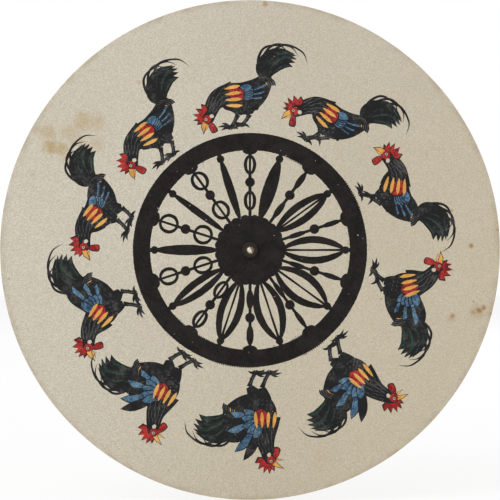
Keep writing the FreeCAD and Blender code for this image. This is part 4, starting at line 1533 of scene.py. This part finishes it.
# %% Measures of the handle
handle = measured("handle_grip")
SEAT_RADIUS = 7.98
SHOULDER_RADIUS = 9.6
BEAD_RADIUS = 10.8
BEAD_WIDTH = 6.0
QUIRK_RADIUS = 8.5
QUIRK_WIDTH = 1.5
NECK_RADIUS = 7.3
NECK_WIDTH = 23.5
NECK_STATION = 11.0
BELLY_START_RADIUS = 9.0
BELLY_RADIUS = 11.55
BELLY_END_RADIUS = 9.8
GRIP_RADIUS = 12.0
GRIP_HALF = 16.0
COVE_WIDTH = 2.0
BUTT_ROUNDING = 2.0
SLEEVE_SEAT = 3.52
SPINDLE_BORE = 2.75
CAVITY_RADIUS = 6.0
CAVITY_DEPTH = 22.0
REAR_SLEEVE = 12.0

print(f"the handle is {handle.back - handle.front:.1f} mm long",
      f"and {2 * handle.radius:.1f} mm at its thickest")

# %% Turn the handle
def quarter(start, end, steps):
    """A quarter round, without its first point: along the axis at its start, across it at its end."""
    share = 1 - math.sqrt(0.5)
    half = (between(start[0], end[0], share), between(end[1], start[1], share))
    return arc(start, half, end, steps)[1:]


bead_end = ferrule.back + BEAD_WIDTH
quirk_end = bead_end + QUIRK_WIDTH
neck_end = quirk_end + NECK_WIDTH
belly_end = -GRIP_HALF - COVE_WIDTH
cavity_front = handle.back - CAVITY_DEPTH
sleeve_end = cavity_front - REAR_SLEEVE
handle_section = [(SLEEVE_SEAT, handle.front), (SEAT_RADIUS, handle.front), (SEAT_RADIUS, ferrule.back)]
handle_section += arc((SHOULDER_RADIUS, ferrule.back), (BEAD_RADIUS, ferrule.back + BEAD_WIDTH / 2),
                      (SHOULDER_RADIUS, bead_end), 16)
handle_section += [(QUIRK_RADIUS, bead_end), (QUIRK_RADIUS, quirk_end)]
handle_section += arc((QUIRK_RADIUS + 1e-6, quirk_end), (NECK_RADIUS, quirk_end + NECK_STATION),
                      (BELLY_START_RADIUS, neck_end), 20)[1:]
handle_section += arc((BELLY_START_RADIUS, neck_end), (BELLY_RADIUS, (neck_end + belly_end) / 2),
                      (BELLY_END_RADIUS, belly_end), 28)[1:]
handle_section += quarter((BELLY_END_RADIUS, belly_end), (GRIP_RADIUS, -GRIP_HALF), 8)
handle_section += [(GRIP_RADIUS, between(-GRIP_HALF, GRIP_HALF, i / 8)) for i in range(1, 9)]
handle_section += quarter((GRIP_RADIUS, GRIP_HALF), (GRIP_RADIUS - BUTT_ROUNDING, handle.back), 8)
handle_section += [(CAVITY_RADIUS, handle.back), (CAVITY_RADIUS, cavity_front), (SLEEVE_SEAT, cavity_front),
                   (SLEEVE_SEAT, sleeve_end), (SPINDLE_BORE, sleeve_end), (SPINDLE_BORE, bearing.back),
                   (SLEEVE_SEAT, bearing.back)]
handle_mesh = turned("turned_handle", handle_section, 192)
print("the section of the handle has", len(handle_section), "points")

# %% The handle's wood and polish
def hardwood_finish():
    finish = Finish("polished_hardwood", Coat_Weight=0.55, Coat_Roughness=0.16)
    laid = finish.swayed(finish.noise(0.035, 3.0, out=1), 6)
    figure = finish.noise(0.6, 5.0, 0.6, (1, 0.04, 1), laid)
    streak = finish.noise(0.2, 3.0, 0.5, (1, 0.03, 1), laid)
    pore = finish.span(finish.noise(4.2, 2.0, 0.5, (1, 0.035, 1), laid), 0.60, 0.70)
    finish.tones((62, 26, 15), (128, 62, 34), figure, 0.32, 0.68)
    finish.wash((40, 18, 12), streak, 0.48, 0.66, 0.0, 0.7)
    finish.wash((24, 11, 8), finish.times(pore, 0.75))
    depth = finish.along("Y")
    held = finish.span(finish.calc("ABSOLUTE", finish.calc("ADD", depth, 20.0)), 12.0, 42.0, 1.0, 0.0)
    held = finish.times(held, finish.span(streak, 0.3, 0.7, 0.5, 1.0))
    finish.wash((150, 84, 48), finish.times(held, 0.28))
    crest = finish.span(finish.radius(), BEAD_RADIUS - 0.35, BEAD_RADIUS - 0.02)
    crest = finish.times(crest, finish.span(depth, bead_end - 1.0, bead_end, 1.0, 0.0))
    finish.wash((164, 100, 60), finish.times(crest, 0.4))
    finish.wear(Roughness=finish.span(finish.calc("ADD", held, pore), 0.0, 1.6, 0.34, 0.58))
    return finish.done(finish.times(pore, -1.0), 0.04, 0.5)


placed(handle_mesh, "handle", "handle_grip", hardwood_finish())

# %% [markdown]
# ## Bone cap
#
# A turned bone button closes the hollow at the butt. Bone is creamy, with fine brown pores that run along it
# and a silky polish.

# %% The cap
cap = measured("end_cap")
SPIGOT_RADIUS = 5.98
SPIGOT_CHAMFER = 0.3
CAP_CHAMFER = 0.15
CAP_ROUNDING = 2.4
CENTRE_LINE = ((5.2, 0.0), (5.0, 0.12), (4.8, 0.0))


def bone_finish():
    finish = Finish("turned_bone", Coat_Weight=0.2, Coat_Roughness=0.25)
    pores = finish.noise(1.6, 3.0, 0.6, (1, 0.12, 1))
    pore = finish.span(pores, 0.62, 0.72, 0.0, 0.65)
    finish.tones((226, 214, 182), (206, 186, 142), finish.noise(0.09, 3.0), 0.35, 0.65)
    finish.wash((132, 98, 60), pore)
    finish.wash((176, 148, 104), finish.radius(), cap.radius - 0.8, cap.radius - 0.1, 0.0, 0.25)
    finish.wear(Roughness=finish.span(pores, 0.3, 0.75, 0.34, 0.55))
    return finish.done(finish.times(pore, -1.0), 0.03, 0.5)


rounding_start = (cap.radius, cap.back - CAP_ROUNDING)
cap_section = [(0, cap.front), (SPIGOT_RADIUS - SPIGOT_CHAMFER, cap.front),
               (SPIGOT_RADIUS, cap.front + SPIGOT_CHAMFER), (SPIGOT_RADIUS, handle.back),
               (cap.radius - CAP_CHAMFER, handle.back), (cap.radius, handle.back + CAP_CHAMFER),
               rounding_start]
cap_section += quarter(rounding_start, (cap.radius - CAP_ROUNDING, cap.back), 10)
cap_section += [(radius, cap.back - cut) for radius, cut in CENTRE_LINE] + [(0, cap.back)]
placed(turned("bone_cap", cap_section), "handle", "end_cap", bone_finish())

# %% [markdown]
# ## Pieces inside the handle
#
# The rear bush, its washer, the collar and the collar's pin are hidden in the handle. Their shapes are right
# as they are, so they only get their metals.

# %% Finish the hidden pieces
for node, finish in (("rear_bearing", old_brass), ("rear_washer", old_brass),
                     ("retaining_collar", old_brass), ("collar_pin", bright_steel)):
    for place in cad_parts[node].material_slots:
        place.material = finish
    print(node, "is finished in", finish.name)

# %% [markdown]
# ## Studio
#
# A plain pale floor lies just under the disc, and everything round it is soft and white. To a lens the floor
# and the surroundings are white, but the light that reaches the disc is set apart from that: the
# surroundings give an even part and one broad lamp, high and to the left, the rest. A weaker lamp behind
# lights the handle. Together they are at the level at which a colour looks as it was mixed.

# %% Floor and surroundings
SURROUND_LIGHT = 0.72
FLOOR_WHITE = 0.78
FLOOR_GAP = 0.0010
FLOOR_HALF = 4.0
WHITE = (1, 1, 1, 1)


def seen_directly(bench):
    """1 for a ray from the lens, off a mirror or through glass, and 0 for light that reaches the object."""
    path = bench.add("ShaderNodeLightPath").node.outputs
    seen = bench.calc("MAXIMUM", path["Is Camera Ray"], path["Is Glossy Ray"])
    return bench.calc("MAXIMUM", seen, path["Is Transmission Ray"])


world = bpy.data.worlds.new("white_room")
bpy.context.scene.world = world
world.use_nodes = True
room = Bench(world.node_tree)
sky = room.tree.nodes["Background"].inputs
sky["Color"].default_value = WHITE
brightness = room.span(seen_directly(room), 0.0, 1.0, SURROUND_LIGHT, 1.0, smooth=False)
room.tree.links.new(brightness, sky["Strength"])

ground = Finish("pale_floor", Base_Color=(0.95, 0.95, 0.95, 1), Roughness=1.0, Specular_IOR_Level=0.0)
glow = ground.add("ShaderNodeEmission", {"Color": WHITE, "Strength": 1.0})
share = ground.times(seen_directly(ground), FLOOR_WHITE)
both = ground.add("ShaderNodeMixShader", {0: share, 1: ground.shader.outputs[0], 2: glow})
ground.tree.links.new(both, ground.tree.nodes["Material Output"].inputs["Surface"])

floor_height = built_box[0].z - FLOOR_GAP
corners = [(x * FLOOR_HALF, y * FLOOR_HALF, floor_height) for x, y in ((-1, -1), (1, -1), (1, 1), (-1, 1))]
floor_mesh = bpy.data.meshes.new("floor")
floor_mesh.from_pydata(corners, [], [(0, 1, 2, 3)])
floor_mesh.materials.append(ground.material)
in_scene("floor", floor_mesh)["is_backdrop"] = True
print(f"floor at {floor_height / MM:.1f} mm")

# %% Lamps
def lamp(name, size, power, place):
    """A square soft lamp that looks at the middle of the disc."""
    light = bpy.data.lights.new(name, "AREA")
    light.shape = "SQUARE"
    light.size = size
    light.energy = power
    stand = in_scene(name, light)
    stand.location = place
    aim = Vector((0, card.front * MM, 0)) - Vector(place)
    stand.rotation_euler = aim.to_track_quat("-Z", "Y").to_euler()
    print(f"{name}: {power} W, {aim.length:.2f} m away")


lamp("window_light", 1.8, 24.2, (-1.35, -1.95, 1.5))
lamp("back_light", 1.2, 10.5, (0.9, 1.4, 1.2))

# %% [markdown]
# ## Camera
#
# The disc is seen square on, its edge touching all four sides of a square frame. A long lens keeps what lies
# behind the card from peeping out and gives the flat view of a copying camera. Its distance follows from the
# lens, the sensor and the width of the disc.

# %% Camera and colours
LENS = 135.0
SENSOR = 36.0

camera = bpy.data.cameras.new("copy_camera")
camera.lens = LENS
camera.sensor_width = SENSOR
viewer = in_scene("copy_camera", camera)
distance = 2 * card.radius * MM * LENS / SENSOR
viewer.location = (0, card.front * MM - distance, 0)
viewer.rotation_euler = (math.pi / 2, 0, 0)
bpy.context.scene.camera = viewer
bpy.context.scene.view_settings.view_transform = "Standard"
print(f"camera {distance:.3f} m in front of the disc")

# %% Check the size and finish
finished_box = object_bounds()
sizes = (high - low for low, high in (built_box, finished_box))
print("grown beyond the construction by", [round((b - a) / MM, 3) for a, b in zip(*sizes)], "mm")
